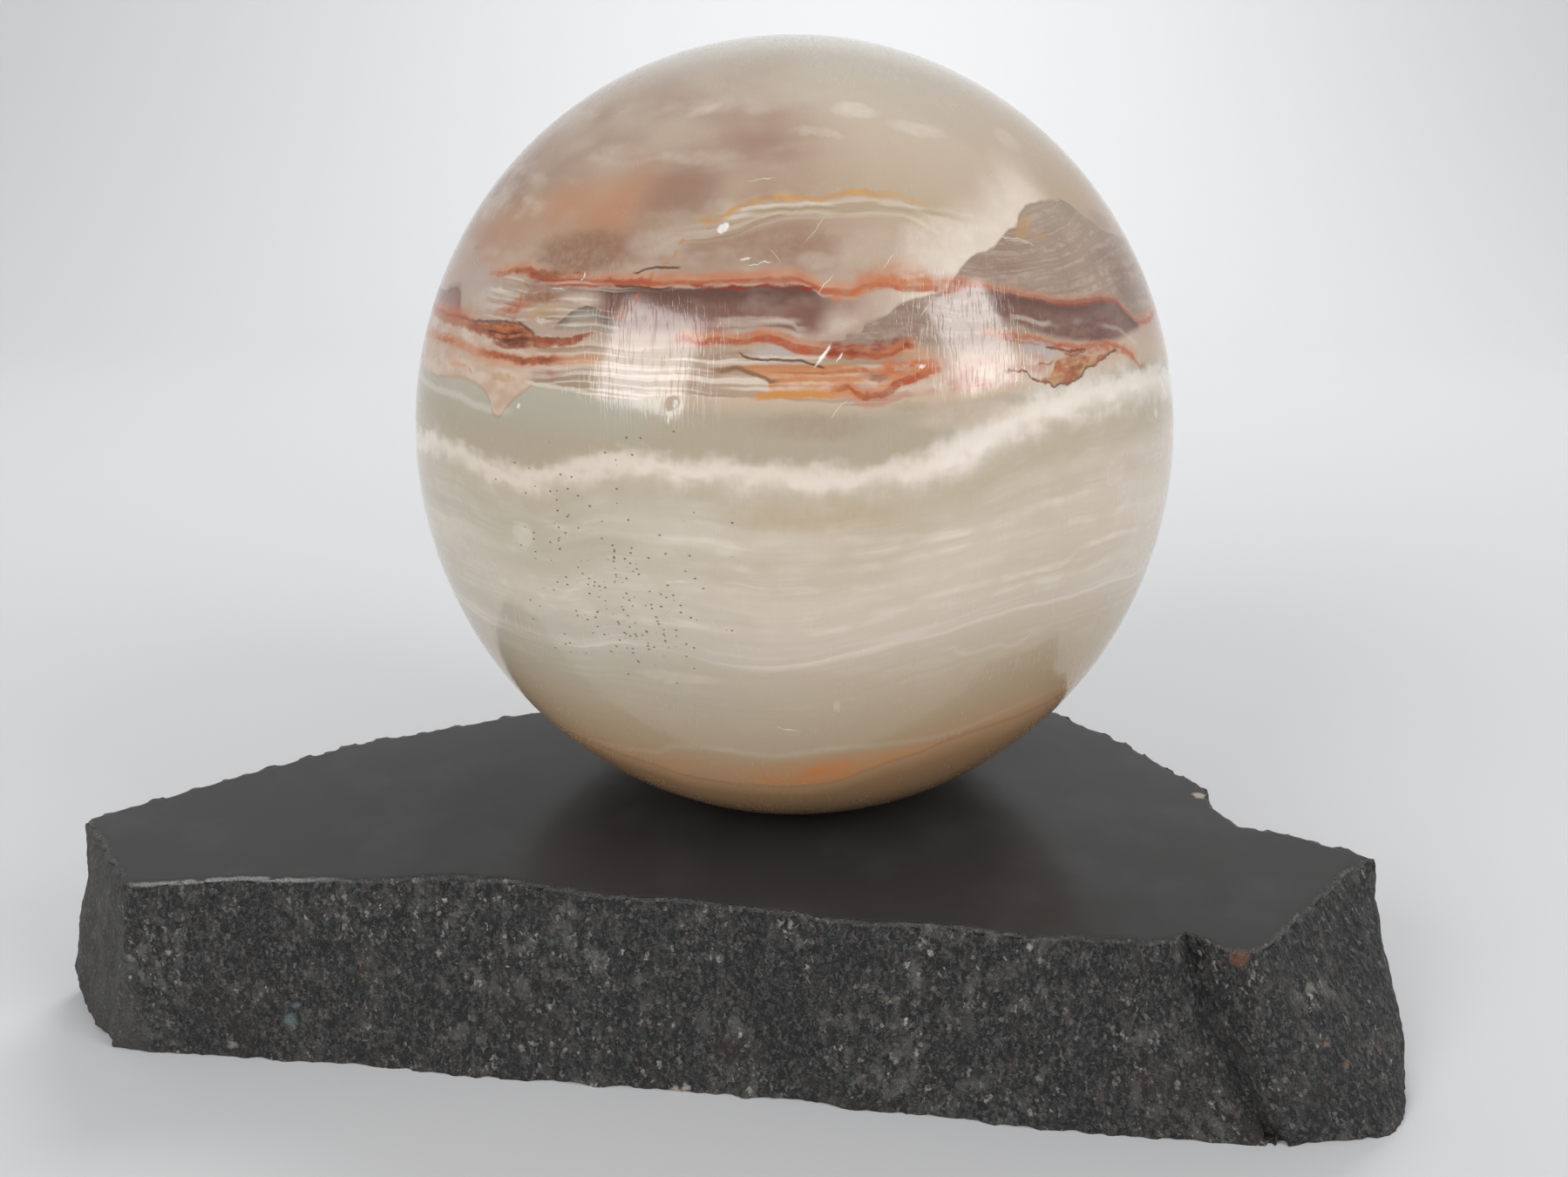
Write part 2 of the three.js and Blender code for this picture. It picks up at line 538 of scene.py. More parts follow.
# %% Slab material: where it is honed, and its grain
STONE_DARK = paint(34, 33, 35)
STONE_GREY = paint(88, 86, 84)
STONE_DUST = paint(128, 126, 120)
GRAIN_PALE = paint(180, 178, 170)
GRAIN_TEAL = paint(98, 112, 110)
GRAIN_TAN = paint(132, 116, 102)
STONE_BROWN = paint(62, 55, 48)
HONED = paint(59, 58, 57)
HONED_SMUDGE = paint(66, 65, 65)
BRUISED = paint(150, 150, 148)

slate = bpy.data.materials.new("dark_stone")
slate.use_nodes = True
tree = slate.node_tree
shader = tree.nodes["Principled BSDF"]
where = node(tree, "ShaderNodeTexCoord").outputs["Object"]
in_mm = node(
    tree, "ShaderNodeMapping", {"Vector": where, "Scale": (1000, 1000, 1000)}
).outputs[0]
spread = node(tree, "ShaderNodeSeparateXYZ", {0: in_mm})
across, deep, height = spread.outputs
honed = rise(tree, height, slab_top / MM - 0.10, slab_top / MM - 0.02)

lean = calc(tree, "MULTIPLY", rise(tree, across, 15.0, 60.0), 0.5)
slanted = calc(tree, "ADD", across, calc(tree, "MULTIPLY", height, lean))
stretched = node(
    tree,
    "ShaderNodeCombineXYZ",
    {0: slanted, 1: deep, 2: calc(tree, "MULTIPLY", height, 0.6)},
).outputs[0]
jolts = node(tree, "ShaderNodeTexNoise", {"Vector": in_mm, "Scale": 1.9, "Detail": 2.0})
JOLT_MM = 1.1
jolts = node(tree, "ShaderNodeVectorMath", {0: jolts.outputs["Color"], 3: JOLT_MM}, operation="SCALE")
stretched = node(
    tree, "ShaderNodeVectorMath", {0: stretched, 1: jolts.outputs[0]}, operation="ADD"
).outputs[0]
coarse = use_group(tree, specks, {"Vector": stretched, "Spacing": 1.15, "Share": 0.2, "Radius": 0.4})
fine = use_group(tree, specks, {"Vector": stretched, "Spacing": 0.55, "Share": 0.5, "Radius": 0.27})
grit_and_relief_light = use_group(tree, mottle, {"Vector": stretched, "Size": 0.45, "Low": 0.35, "High": 0.7})
patches = use_group(tree, mottle, {"Vector": in_mm, "Size": 7.0, "Low": 0.36, "High": 0.68})
browned = use_group(tree, mottle, {"Vector": in_mm, "Size": 9.0, "Low": 0.5, "High": 0.7})
left_end = rise(tree, across, -75.5, -79.0)

# %% Slab material: colour
# The grit mottle is partly the stone's own grain and partly painted light and shade on the break: the same
# mask raises the bump below, so the colour is lighter on the raised grit and darker in its hollows.
ground = blend(tree, grit_and_relief_light.outputs[0], STONE_DARK, STONE_GREY)
dust = use_group(tree, mottle, {"Vector": stretched, "Size": 1.6, "Low": 0.46, "High": 0.68})
dusty = calc(tree, "MULTIPLY", dust.outputs[0], patches.outputs[0])
ground = blend(tree, calc(tree, "MULTIPLY", dusty, 0.55), ground, STONE_DUST)
low_down = rise(tree, height, 14.0, 4.0)
stained = calc(tree, "MULTIPLY", browned.outputs[0], low_down)
ground = blend(tree, calc(tree, "MULTIPLY", stained, 0.6), ground, STONE_BROWN)
ground = blend(tree, calc(tree, "MULTIPLY", left_end, 0.6), ground, STONE_GREY)
grain_tint = blend(tree, rise(tree, coarse.outputs["Tone"], 0.5, 0.55), GRAIN_PALE, GRAIN_TEAL)
grain_tint = blend(tree, rise(tree, coarse.outputs["Tone"], 0.82, 0.86), grain_tint, GRAIN_TAN)
density = calc(tree, "ADD", 0.2, calc(tree, "MULTIPLY", patches.outputs[0], 0.55))
fewer = calc(tree, "SUBTRACT", 1.0, calc(tree, "MULTIPLY", left_end, 0.7))
density = calc(tree, "MULTIPLY", density, fewer)
dusted = calc(tree, "MULTIPLY", fine.outputs["Mask"], fine.outputs["Tone"])
speckle = calc(tree, "MAXIMUM", coarse.outputs["Mask"], dusted)
broken = blend(tree, calc(tree, "MULTIPLY", speckle, density), ground, grain_tint)
smudge = use_group(tree, mottle, {"Vector": in_mm, "Size": 11.0, "Low": 0.45, "High": 0.75})
worn = blend(tree, smudge.outputs[0], HONED, HONED_SMUDGE)
stone_colour = blend(tree, honed, broken, worn)

# %% [markdown]
# Single marks on the slab
#
# A few marks are worth placing one by one: the bruised, paler rim at the left, a rusty fleck by the
# crack, and some pale and tan crystals. Each is a soft spot round a named place on the stone.

# %% Group: spot
spot_group, sockets_in, sockets_out = new_group(
    "Spot", {"Vector": VECTOR, "Place": VECTOR, "Radius": FLOAT}, {"Mask": FLOAT}
)
source = sockets_in.outputs
gap = node(
    spot_group,
    "ShaderNodeVectorMath",
    {0: source["Vector"], 1: source["Place"]},
    operation="DISTANCE",
)
inner = calc(spot_group, "MULTIPLY", source["Radius"], 0.4)
covered = rise(spot_group, gap.outputs["Value"], source["Radius"], inner)
spot_group.links.new(covered, sockets_out.inputs["Mask"])

# %% Slab material: marks
RUSTY = paint(128, 88, 70)
PALE = paint(150, 148, 140)
TAN_MARK = paint(136, 114, 96)
TEAL = paint(112, 130, 128)
SHELL = paint(196, 186, 172)
MARKS = [
    ((45.8, -43.8, 23.2), 1.3, RUSTY, 0.8),
    ((54.9, -41.6, 18.0), 1.0, PALE, 0.7),
    ((56.9, -43.0, 12.1), 0.7, TAN_MARK, 0.8),
    ((59.3, -43.4, 9.2), 0.9, TAN_MARK, 0.7),
    ((-76.8, -31.2, 13.5), 0.9, PALE, 0.7),
    ((-59.0, -31.6, 5.6), 1.2, TEAL, 0.7),
    ((-58.0, -31.6, 7.6), 0.6, TEAL, 0.8),
    ((-66.5, -31.6, 2.0), 0.8, PALE, 0.8),
    ((-56.5, -31.9, 2.2), 0.7, PALE, 0.8),
    ((51.7, -11.5, 23.9), 1.0, SHELL, 0.6),
    ((-13.6, -37.3, 0.4), 0.8, SHELL, 0.9),
    ((-12.4, -37.4, 0.6), 0.8, SHELL, 0.9),
]
wobble = node(tree, "ShaderNodeTexNoise", {"Vector": in_mm, "Scale": 1.3, "Detail": 1.0})
shifted = node(
    tree, "ShaderNodeVectorMath", {0: in_mm, 1: wobble.outputs["Color"]}, operation="ADD"
).outputs[0]
for place, radius, colour, amount in MARKS:
    offset_place = tuple(value + 0.5 for value in place)
    mark = use_group(tree, spot_group, {"Vector": shifted, "Place": offset_place, "Radius": radius})
    stone_colour = blend(tree, calc(tree, "MULTIPLY", mark.outputs[0], amount), stone_colour, colour)

rim_line = calc(
    tree,
    "MULTIPLY",
    rise(tree, height, slab_top / MM - 0.5, slab_top / MM - 0.25),
    rise(tree, height, slab_top / MM - 0.02, slab_top / MM - 0.15),
)
at_left = calc(
    tree, "MULTIPLY", rise(tree, across, -76.0, -73.0), rise(tree, across, -50.0, -56.0)
)
at_front = rise(tree, deep, -24.0, -27.0)
bruise = calc(tree, "ADD", 0.18, calc(tree, "MULTIPLY", calc(tree, "MULTIPLY", at_left, at_front), 0.75))
stone_colour = blend(tree, calc(tree, "MULTIPLY", rim_line, bruise), stone_colour, BRUISED)
tree.links.new(stone_colour, shader.inputs["Base Color"])

# %% Slab material: polish and relief
glint = calc(tree, "MULTIPLY", fine.outputs["Mask"], 0.25)
rough_break = calc(tree, "SUBTRACT", 0.75, glint)
rough_honed = calc(tree, "ADD", 0.2, calc(tree, "MULTIPLY", smudge.outputs[0], 0.05))
finish = node(
    tree, "ShaderNodeMix", {0: honed, 2: rough_break, 3: rough_honed}, data_type="FLOAT"
)
tree.links.new(finish.outputs[0], shader.inputs["Roughness"])
bumps = calc(tree, "ADD", grit_and_relief_light.outputs[0], calc(tree, "MULTIPLY", coarse.outputs["Mask"], 0.6))
raised = calc(tree, "MULTIPLY", bumps, calc(tree, "SUBTRACT", 1.0, honed))
relief = node(tree, "ShaderNodeBump", {"Height": raised, "Distance": 0.3 * MM, "Strength": 1.0})
tree.links.new(relief.outputs[0], shader.inputs["Normal"])
shader.inputs["IOR"].default_value = 1.33
stone.data.materials.append(slate)
print("slab nodes:", len(tree.nodes))

# %% [markdown]
# Mapping the onyx
#
# Banded onyx grew layer on layer, so its pattern is a stack of beds cut by the ball's surface. The
# beds here are set out as on a globe: an angle round the upright axis, 0 at the front and growing
# to the right, and a height above the ball's centre. A bed's course round the ball is a smooth
# curve through a few points, and a little noise makes it wander.

# %% Onyx material: coordinates
onyx = bpy.data.materials.new("banded_onyx")
onyx.use_nodes = True
tree = onyx.node_tree
where = node(tree, "ShaderNodeTexCoord").outputs["Object"]
centred = node(
    tree,
    "ShaderNodeMapping",
    {
        "Vector": where,
        "Location": tuple(-ball_centre / MM),
        "Scale": (1000, 1000, 1000),
    },
).outputs[0]
spread = node(tree, "ShaderNodeSeparateXYZ", {0: centred})
across, deep, up = spread.outputs
turn = calc(tree, "ARCTAN2", across, calc(tree, "MULTIPLY", deep, -1.0))
angle = calc(tree, "DEGREES", turn)
back_angle = calc(tree, "FLOORED_MODULO", angle, 360.0)


def stretch(side, rise_by):
    """The position, scaled across and upwards by different amounts."""
    return node(
        tree, "ShaderNodeMapping", {"Vector": centred, "Scale": (side, side, rise_by)}
    ).outputs[0]


def wander(size, amount, side=1.0, upright=1.0):
    """A height offset in mm that changes over about size mm."""
    waves = node(
        tree,
        "ShaderNodeTexNoise",
        {"Vector": stretch(side, upright), "Scale": 1 / size, "Detail": 2.0, "Roughness": 0.6},
    )
    middle = calc(tree, "SUBTRACT", waves.outputs[0], 0.5)
    return calc(tree, "MULTIPLY", middle, 2.0 * amount)


bed_waves = wander(7.0, 0.55, upright=0.35)
ripple = wander(2.2, 0.32, upright=0.6)
fray = wander(0.8, 0.3)
soft_height = calc(tree, "ADD", up, bed_waves)
fine_height = calc(tree, "ADD", calc(tree, "ADD", up, calc(tree, "MULTIPLY", bed_waves, 0.45)), ripple)
ragged_height = calc(tree, "ADD", fine_height, fray)


# %% Onyx material: courses round the ball
def course(points, along=None):
    """The height in mm of a bed, a curve through given points (degrees, mm)."""
    first, last = points[0][0], points[-1][0]
    low = min(mm for _, mm in points)
    high = max(mm for _, mm in points) + 0.001
    made = node(
        tree, "ShaderNodeFloatCurve", {"Value": share_between(tree, along or angle, first, last)}
    )
    line = made.mapping.curves[0]
    for i, (degrees, mm) in enumerate(points):
        place = ((degrees - first) / (last - first), (mm - low) / (high - low))
        if 0 < i < len(points) - 1:
            line.points.new(*place)
        else:
            line.points[0 if i == 0 else -1].location = place
    for point in line.points:
        point.handle_type = "AUTO_CLAMPED"
    made.mapping.extend = "HORIZONTAL"
    made.mapping.update()
    return node(
        tree, "ShaderNodeMath", {0: made.outputs[0], 1: high - low, 2: low}, operation="MULTIPLY_ADD"
    ).outputs[0]


BAND_FOOT = [
    (-180, -27), (-120, -28), (-60, -27), (-28, -27.7), (-12, -29.3), (0, -29.2), (10, -27.2),
    (19, -24.8), (40, -22.5), (80, -24), (130, -27), (180, -27),
]
LOW_BAND = [
    (-180, -12.5), (-110, -13.5), (-60, -12.5), (-30, -11.9), (-18, -10.2), (-5, -11.3),
    (5, -10.2), (18, -8.4), (34, -7.2), (57, -8.8), (85, -10), (130, -11.5), (180, -12.5),
]
CLOUD = [
    (-180, 6.5), (-130, 4), (-90, 3.6), (-65, 4.4), (-51, 6.1), (-39, 5.3), (-28, 7.1), (-13, 8.1),
    (0, 7.4), (16, 8.3), (26, 10.2), (40, 12), (60, 11.3), (78, 9), (115, 7), (150, 7.5), (180, 6.5),
]
CREAM_FOOT = [
    (-180, 12.5), (-110, 11), (-58, 11.5), (-44, 12.3), (-33, 13.2), (-20, 13.7), (0, 13.4),
    (15, 13.4), (28, 13.6), (44, 14.2), (65, 13.2), (95, 12), (140, 13), (180, 12.5),
]
OCHRE = [
    (-180, 27.5), (-120, 28.5), (-60, 29), (-28, 27.8), (-11, 28.5), (0, 30.1), (12, 30.4),
    (26, 27.8), (45, 28.5), (70, 31), (120, 29.5), (180, 27.5),
]
band_foot, low_band, cloud, cream_foot, ochre = (
    course(points) for points in (BAND_FOOT, LOW_BAND, CLOUD, CREAM_FOOT, OCHRE)
)

# %% [markdown]
# One number for the depth in the stack
#
# The main courses split the ball into six storeys. Adding up how far a point has climbed through
# each storey gives one number that follows all the courses at once. Fine lines drawn on that number
# stay parallel to the beds above and below them, as growth lines do.

# %% Onyx material: storeys
BOTTOM, TOP = -46.0, 46.0
floors = [BOTTOM, band_foot, low_band, cloud, cream_foot, ochre, TOP]
storey = None
for lower, upper in zip(floors, floors[1:]):
    climbed = share_between(tree, soft_height, lower, upper)
    climbed = calc(tree, "MINIMUM", calc(tree, "MAXIMUM", climbed, 0.0), 1.0)
    storey = climbed if storey is None else calc(tree, "ADD", storey, climbed)
fine_storey = calc(
    tree, "ADD", storey, calc(tree, "MULTIPLY", ripple, 0.015)
)

# The two lowest stops, below the tan band, hold the stone's brown darkened further by painted shade towards
# the slab that the ball rests on.
BODY = [
    (0.0, paint(142, 111, 80)),
    (0.85, paint(158, 124, 89)),
    (1.0, paint(186, 148, 111)),
    (1.3, paint(182, 160, 130)),
    (1.75, paint(188, 172, 149)),
    (2.0, paint(197, 182, 164)),
    (2.35, paint(200, 184, 164)),
    (2.8, paint(184, 169, 145)),
    (3.2, paint(173, 160, 138)),
    (3.75, paint(172, 159, 138)),
    (4.05, paint(196, 172, 148)),
    (4.3, paint(176, 150, 132)),
    (4.7, paint(180, 156, 136)),
    (5.0, paint(181, 160, 136)),
    (5.35, paint(186, 168, 148)),
    (6.0, paint(182, 176, 163)),
]
STOREYS = len(floors) - 1
body = node(
    tree, "ShaderNodeValToRGB", {0: calc(tree, "DIVIDE", storey, STOREYS)}
)
stops = body.color_ramp.elements
stops[0].color = BODY[0][1]
stops[1].color = BODY[-1][1]
for level, colour in BODY[1:-1]:
    stops.new(level / STOREYS).color = colour
onyx_colour = body.outputs[0]

# %% [markdown]
# Beds, lines, stains and patches
#
# Small groups draw everything on top of the body colour. A bed fills the space between two
# courses. A line follows one course with a thickness, between a start and an end. A span keeps to
# a stretch of the way round, and a depth grows below a course. A patch is a soft, tilted oval. A
# stain lays a colour over what is there, between a dark and a light version of itself.

# %% Group: bed
bed, sockets_in, sockets_out = new_group(
    "Bed",
    {"Height": FLOAT, "Top": FLOAT, "Foot": FLOAT, "Soft top": FLOAT, "Soft foot": FLOAT},
    {"Mask": FLOAT},
)
source = sockets_in.outputs
below_top = calc(bed, "SUBTRACT", source["Top"], source["Height"])
above_foot = calc(bed, "SUBTRACT", source["Height"], source["Foot"])
filled = calc(
    bed,
    "MULTIPLY",
    rise(bed, below_top, 0.0, source["Soft top"]),
    rise(bed, above_foot, 0.0, source["Soft foot"]),
)
bed.links.new(filled, sockets_out.inputs["Mask"])

# %% Group: line
line_group, sockets_in, sockets_out = new_group(
    "Line",
    {
        "Height": FLOAT, "Course": FLOAT, "Half": FLOAT, "Soft": FLOAT,
        "Angle": FLOAT, "Start": FLOAT, "End": FLOAT, "Fade": FLOAT,
    },
    {"Mask": FLOAT},
)
source = sockets_in.outputs
off = calc(line_group, "ABSOLUTE", calc(line_group, "SUBTRACT", source["Height"], source["Course"]))
outer = calc(line_group, "ADD", source["Half"], source["Soft"])
on_line = rise(line_group, off, outer, source["Half"])
begin = calc(line_group, "SUBTRACT", source["Start"], source["Fade"])
finish_at = calc(line_group, "ADD", source["End"], source["Fade"])
begun = rise(line_group, source["Angle"], begin, source["Start"])
not_over = rise(line_group, source["Angle"], finish_at, source["End"])
reached = calc(line_group, "MULTIPLY", begun, not_over)
line_group.links.new(calc(line_group, "MULTIPLY", on_line, reached), sockets_out.inputs["Mask"])

# %% Group: span
span_group, sockets_in, sockets_out = new_group(
    "Span", {"Angle": FLOAT, "Start": FLOAT, "End": FLOAT, "Fade": FLOAT}, {"Mask": FLOAT}
)
source = sockets_in.outputs
begin = calc(span_group, "SUBTRACT", source["Start"], source["Fade"])
finish_at = calc(span_group, "ADD", source["End"], source["Fade"])
begun = rise(span_group, source["Angle"], begin, source["Start"])
not_over = rise(span_group, source["Angle"], finish_at, source["End"])
kept = calc(span_group, "MULTIPLY", begun, not_over)
span_group.links.new(kept, sockets_out.inputs["Mask"])

# %% Group: depth
depth_group, sockets_in, sockets_out = new_group(
    "Depth", {"Height": FLOAT, "Top": FLOAT, "Thickness": FLOAT}, {"Mask": FLOAT}
)
source = sockets_in.outputs
below = calc(depth_group, "SUBTRACT", source["Top"], source["Height"])
depth_group.links.new(
    rise(depth_group, below, 0.0, source["Thickness"]), sockets_out.inputs["Mask"]
)

# %% Group: patch
patch_group, sockets_in, sockets_out = new_group(
    "Patch",
    {"Place": VECTOR, "Scale": VECTOR, "Shift": VECTOR, "Crumbs": FLOAT},
    {"Mask": FLOAT},
)
source = sockets_in.outputs
shares = node(
    patch_group,
    "ShaderNodeVectorMath",
    {0: source["Place"], 1: source["Scale"], 2: source["Shift"]},
    operation="MULTIPLY_ADD",
).outputs[0]
out_by = node(
    patch_group, "ShaderNodeVectorMath", {0: shares, 1: shares}, operation="DOT_PRODUCT"
).outputs["Value"]
inside = calc(patch_group, "MULTIPLY", rise(patch_group, out_by, 1.0, 0.1), source["Crumbs"])
patch_group.links.new(inside, sockets_out.inputs["Mask"])

# %% Group: stain
stain_group, sockets_in, sockets_out = new_group(
    "Stain",
    {
        "Under": COLOUR, "Mask": FLOAT, "Amount": FLOAT,
        "Tone": FLOAT, "Dark": COLOUR, "Light": COLOUR,
    },
    {"Colour": COLOUR},
)
source = sockets_in.outputs
shade = blend(stain_group, source["Tone"], source["Dark"], source["Light"])
laid_on = calc(stain_group, "MULTIPLY", source["Mask"], source["Amount"])
stain_group.links.new(
    blend(stain_group, laid_on, source["Under"], shade), sockets_out.inputs["Colour"]
)


# %% Onyx material: tones that the stains share
def grown_lines(spacing, low, high, side=0.04):
    """Fine lines along the beds, about spacing mm apart."""
    storey_mm = 15.0
    lines = node(
        tree,
        "ShaderNodeTexNoise",
        {
            "Vector": stretch(side, 0.0), "W": calc(tree, "MULTIPLY", fine_storey, storey_mm / spacing),
            "Scale": 1.0, "Detail": 1.0, "Roughness": 0.5,
        },
        noise_dimensions="4D",
    )
    return rise(tree, lines.outputs[0], low, high)


def tone_of(size, low, high, side=1.0, upright=1.0):
    """Uneven tone from 0 to 1 that changes over about size mm, and from storey to storey."""
    uneven = node(
        tree,
        "ShaderNodeTexNoise",
        {
            "Vector": stretch(side, upright), "W": storey, "Scale": 1 / size,
            "Detail": 2.0, "Roughness": 0.55,
        },
        noise_dimensions="4D",
    )
    return rise(tree, uneven.outputs[0], low, high)


fine_lines = grown_lines(0.5, 0.42, 0.6, side=0.06)
hair_lines = grown_lines(0.3, 0.52, 0.64, side=0.1)
broad_lines = grown_lines(2.0, 0.42, 0.68)
blotches = tone_of(3.4, 0.38, 0.66, upright=1.8)
flakes = tone_of(1.1, 0.34, 0.64, upright=2.0)
crumbs = tone_of(0.7, 0.3, 0.7)
haze = tone_of(12.0, 0.36, 0.66, upright=1.6)
upright_streaks = tone_of(1.0, 0.3, 0.7, upright=0.2)
wavy_angle = calc(tree, "ADD", angle, calc(tree, "MULTIPLY", calc(tree, "ADD", bed_waves, ripple), 3.0))
crumbled = calc(tree, "ADD", 0.6, calc(tree, "MULTIPLY", crumbs, 0.4))
MM_A_DEGREE = 0.7
along_front = calc(tree, "MULTIPLY", wavy_angle, MM_A_DEGREE)
sloped_places = {}


def sloped_place(slope):
    """The place on the ball in mm, with heights counted from a sloping line."""
    if slope not in sloped_places:
        height = ragged_height
        if slope:
            height = calc(tree, "SUBTRACT", height, calc(tree, "MULTIPLY", along_front, slope))
        sloped_places[slope] = node(
            tree, "ShaderNodeCombineXYZ", {0: along_front, 1: height}
        ).outputs[0]
    return sloped_places[slope]


# %% Onyx material: masks
def strength(mask, amount):
    return calc(tree, "MULTIPLY", mask, amount)


def both(*masks):
    made = masks[0]
    for mask in masks[1:]:
        made = calc(tree, "MULTIPLY", made, mask)
    return made


def without(mask):
    return calc(tree, "SUBTRACT", 1.0, mask)


def trace(way, ends, half, soft, fade, height=None, along=None):
    """A mask along a course, from one angle to another."""
    return use_group(
        tree,
        line_group,
        {
            "Height": fine_height if height is None else height,
            "Course": way, "Half": half, "Soft": soft,
            "Angle": wavy_angle if along is None else along,
            "Start": float(ends[0]), "End": float(ends[1]), "Fade": fade,
        },
    ).outputs[0]


def line(points, half, soft, fade, height=None, along=None):
    """A mask along a curve through the points, from the first to the last."""
    ends = (points[0][0], points[-1][0])
    return trace(course(points, along), ends, half, soft, fade, height, along)


def layer(top, foot, soft_top, soft_foot, height=None):
    """A mask between two courses."""
    return use_group(
        tree,
        bed,
        {
            "Height": fine_height if height is None else height,
            "Top": top, "Foot": foot, "Soft top": soft_top, "Soft foot": soft_foot,
        },
    ).outputs[0]


def span(start, end, fade, along=None):
    """A mask from one angle to another."""
    way = wavy_angle if along is None else along
    return use_group(
        tree,
        span_group,
        {"Angle": way, "Start": float(start), "End": float(end), "Fade": float(fade)},
    ).outputs[0]


def under(top, thickness, height=None):
    """0 at a course, growing to 1 at a depth in mm below it."""
    return use_group(
        tree,
        depth_group,
        {"Height": fine_height if height is None else height, "Top": top, "Thickness": thickness},
    ).outputs[0]


def patch(at_angle, at_height, half_length, half_height, slope=0.0):
    """A soft oval at a place on the ball, with half sizes in mm."""
    run = at_angle * MM_A_DEGREE
    return use_group(
        tree,
        patch_group,
        {
            "Place": sloped_place(slope),
            "Scale": (1 / half_length, 1 / half_height, 0.0),
            "Shift": (-run / half_length, (slope * run - at_height) / half_height, 0.0),
            "Crumbs": crumbled,
        },
    ).outputs[0]


# %% Onyx material: laying colour on
def stain(mask, amount, dark, light=None, tone=None):
    """Lays a stain on the onyx colour so far. With a light version, a tone mixes the two."""
    global onyx_colour
    values = {"Under": onyx_colour, "Mask": mask, "Amount": amount, "Dark": dark, "Tone": 0.0}
    if light is not None:
        values["Light"] = light
        values["Tone"] = fine_lines if tone is None else tone
    onyx_colour = use_group(tree, stain_group, values).outputs[0]


def dab(patches):
    """Lays soft ovals: angle, height, half length, half height, slope, colour, amount."""
    for at_angle, at_height, half_length, half_height, slope, colour, amount in patches:
        stain(patch(at_angle, at_height, half_length, half_height, slope), amount, colour)


# %% [markdown]
# The lower half
#
# Under the middle the stone is calm: greenish beige with pale growth lines, one strong pale band,
# and a tan band near the seat. Everything here is soft, because light enters the stone and the
# lines are seen a little below the surface.

# %% Onyx: growth lines
PALE_LINE = paint(218, 206, 190)
MILK = paint(226, 216, 202)
GREEN_GREY = paint(172, 168, 152)
WARM_WHITE = paint(214, 202, 188)
LOW_WARM = paint(190, 168, 144)
WARM_SHADE = paint(180, 156, 124)
above_low_band = both(rise(tree, storey, 1.85, 2.2), rise(tree, storey, 2.9, 2.62))
lower_half = both(rise(tree, storey, 1.3, 1.9), rise(tree, storey, 2.95, 2.7))
stain(both(lower_half, span(-100, -22, 30)), 0.45, GREEN_GREY)
stain(both(above_low_band, span(-14, 90, 26), haze), 0.35, WARM_WHITE)
stain(both(above_low_band, broad_lines), 0.28, PALE_LINE, MILK, tone=blotches)
stain(both(lower_half, fine_lines, calc(tree, "ADD", 0.3, blotches)), 0.14, PALE_LINE)
stain(both(above_low_band, hair_lines, blotches), 0.18, MILK)
PALE_LINES = [
    ([(-31, 1.1), (-15, 0.9), (0, 1.1), (18, 1.2), (31, 2.8)], 0.25),
    ([(-44, -6.9), (-34, -6.9), (-26, -4.3), (-15, -3.8), (0, -3.5), (10, -3.4), (23, -2.0)], 0.3),
    ([(8, -0.3), (18, 1.1), (31, 2.8), (48, 3.4)], 0.35),
    ([(13, -5.9), (18, -4.5), (35, -3.6), (40, -2.4), (47, -2.6), (57, -3.6)], 0.45),
    ([(-28, -7.6), (0, -7.6), (10, -6.7), (16, -5.9), (30, -5.2), (44, -4.9)], 0.3),
    ([(-6, -1.4), (6, -1.5), (18, -0.4), (30, 0.4), (46, 0.2)], 0.3),
]
for points, amount in PALE_LINES:
    course_line = line(points, 0.1, 0.5, 8.0, height=soft_height)
    stain(both(course_line, calc(tree, "ADD", 0.3, blotches)), amount, PALE_LINE, MILK)
dab([
    (-36, -0.8, 1.8, 1.6, 0.0, MILK, 0.4),
    (2, 3.6, 9.0, 2.0, 0.0, WARM_SHADE, 0.5),
    (-8, 0.4, 1.6, 0.9, 0.0, MILK, 0.3),
    (-14, -3.0, 1.6, 0.12, 0.1, MILK, 0.6),
    (5, -16.6, 0.5, 1.0, 0.0, MILK, 0.35),
    (0, -13.6, 12.0, 1.6, 0.0, LOW_WARM, 0.4),
    (22, -16.0, 7.0, 3.0, 0.0, LOW_WARM, 0.3),
    (-15, -13.6, 5.0, 0.9, 0.0, WARM_WHITE, 0.4),
    (44, 4.4, 2.6, 1.6, 0.0, WARM_WHITE, 0.4),
])

# %% Onyx: the pale band and the tan band
LILAC_WHITE = paint(206, 193, 182)
pale_top = calc(tree, "ADD", low_band, 1.2)
pale_foot = calc(tree, "SUBTRACT", low_band, 1.1)
pale_band = both(
    layer(pale_top, pale_foot, 1.6, 0.9, height=soft_height),
    calc(tree, "ADD", 0.6, strength(fine_lines, 0.4)),
)
stain(pale_band, 0.5, LILAC_WHITE, MILK, tone=fine_lines)
LOBE = [(20, -10.6), (23, -11.6), (26, -11.2), (29, -11.8), (32, -10.8)]
stain(line(LOBE, 0.04, 0.4, 4.0, height=soft_height), 0.18, MILK)
TAN_SHADE = paint(152, 124, 94)
stain(both(under(calc(tree, "SUBTRACT", low_band, 1.2), 9.0), rise(tree, storey, 1.0, 1.5)), 0.12, TAN_SHADE)

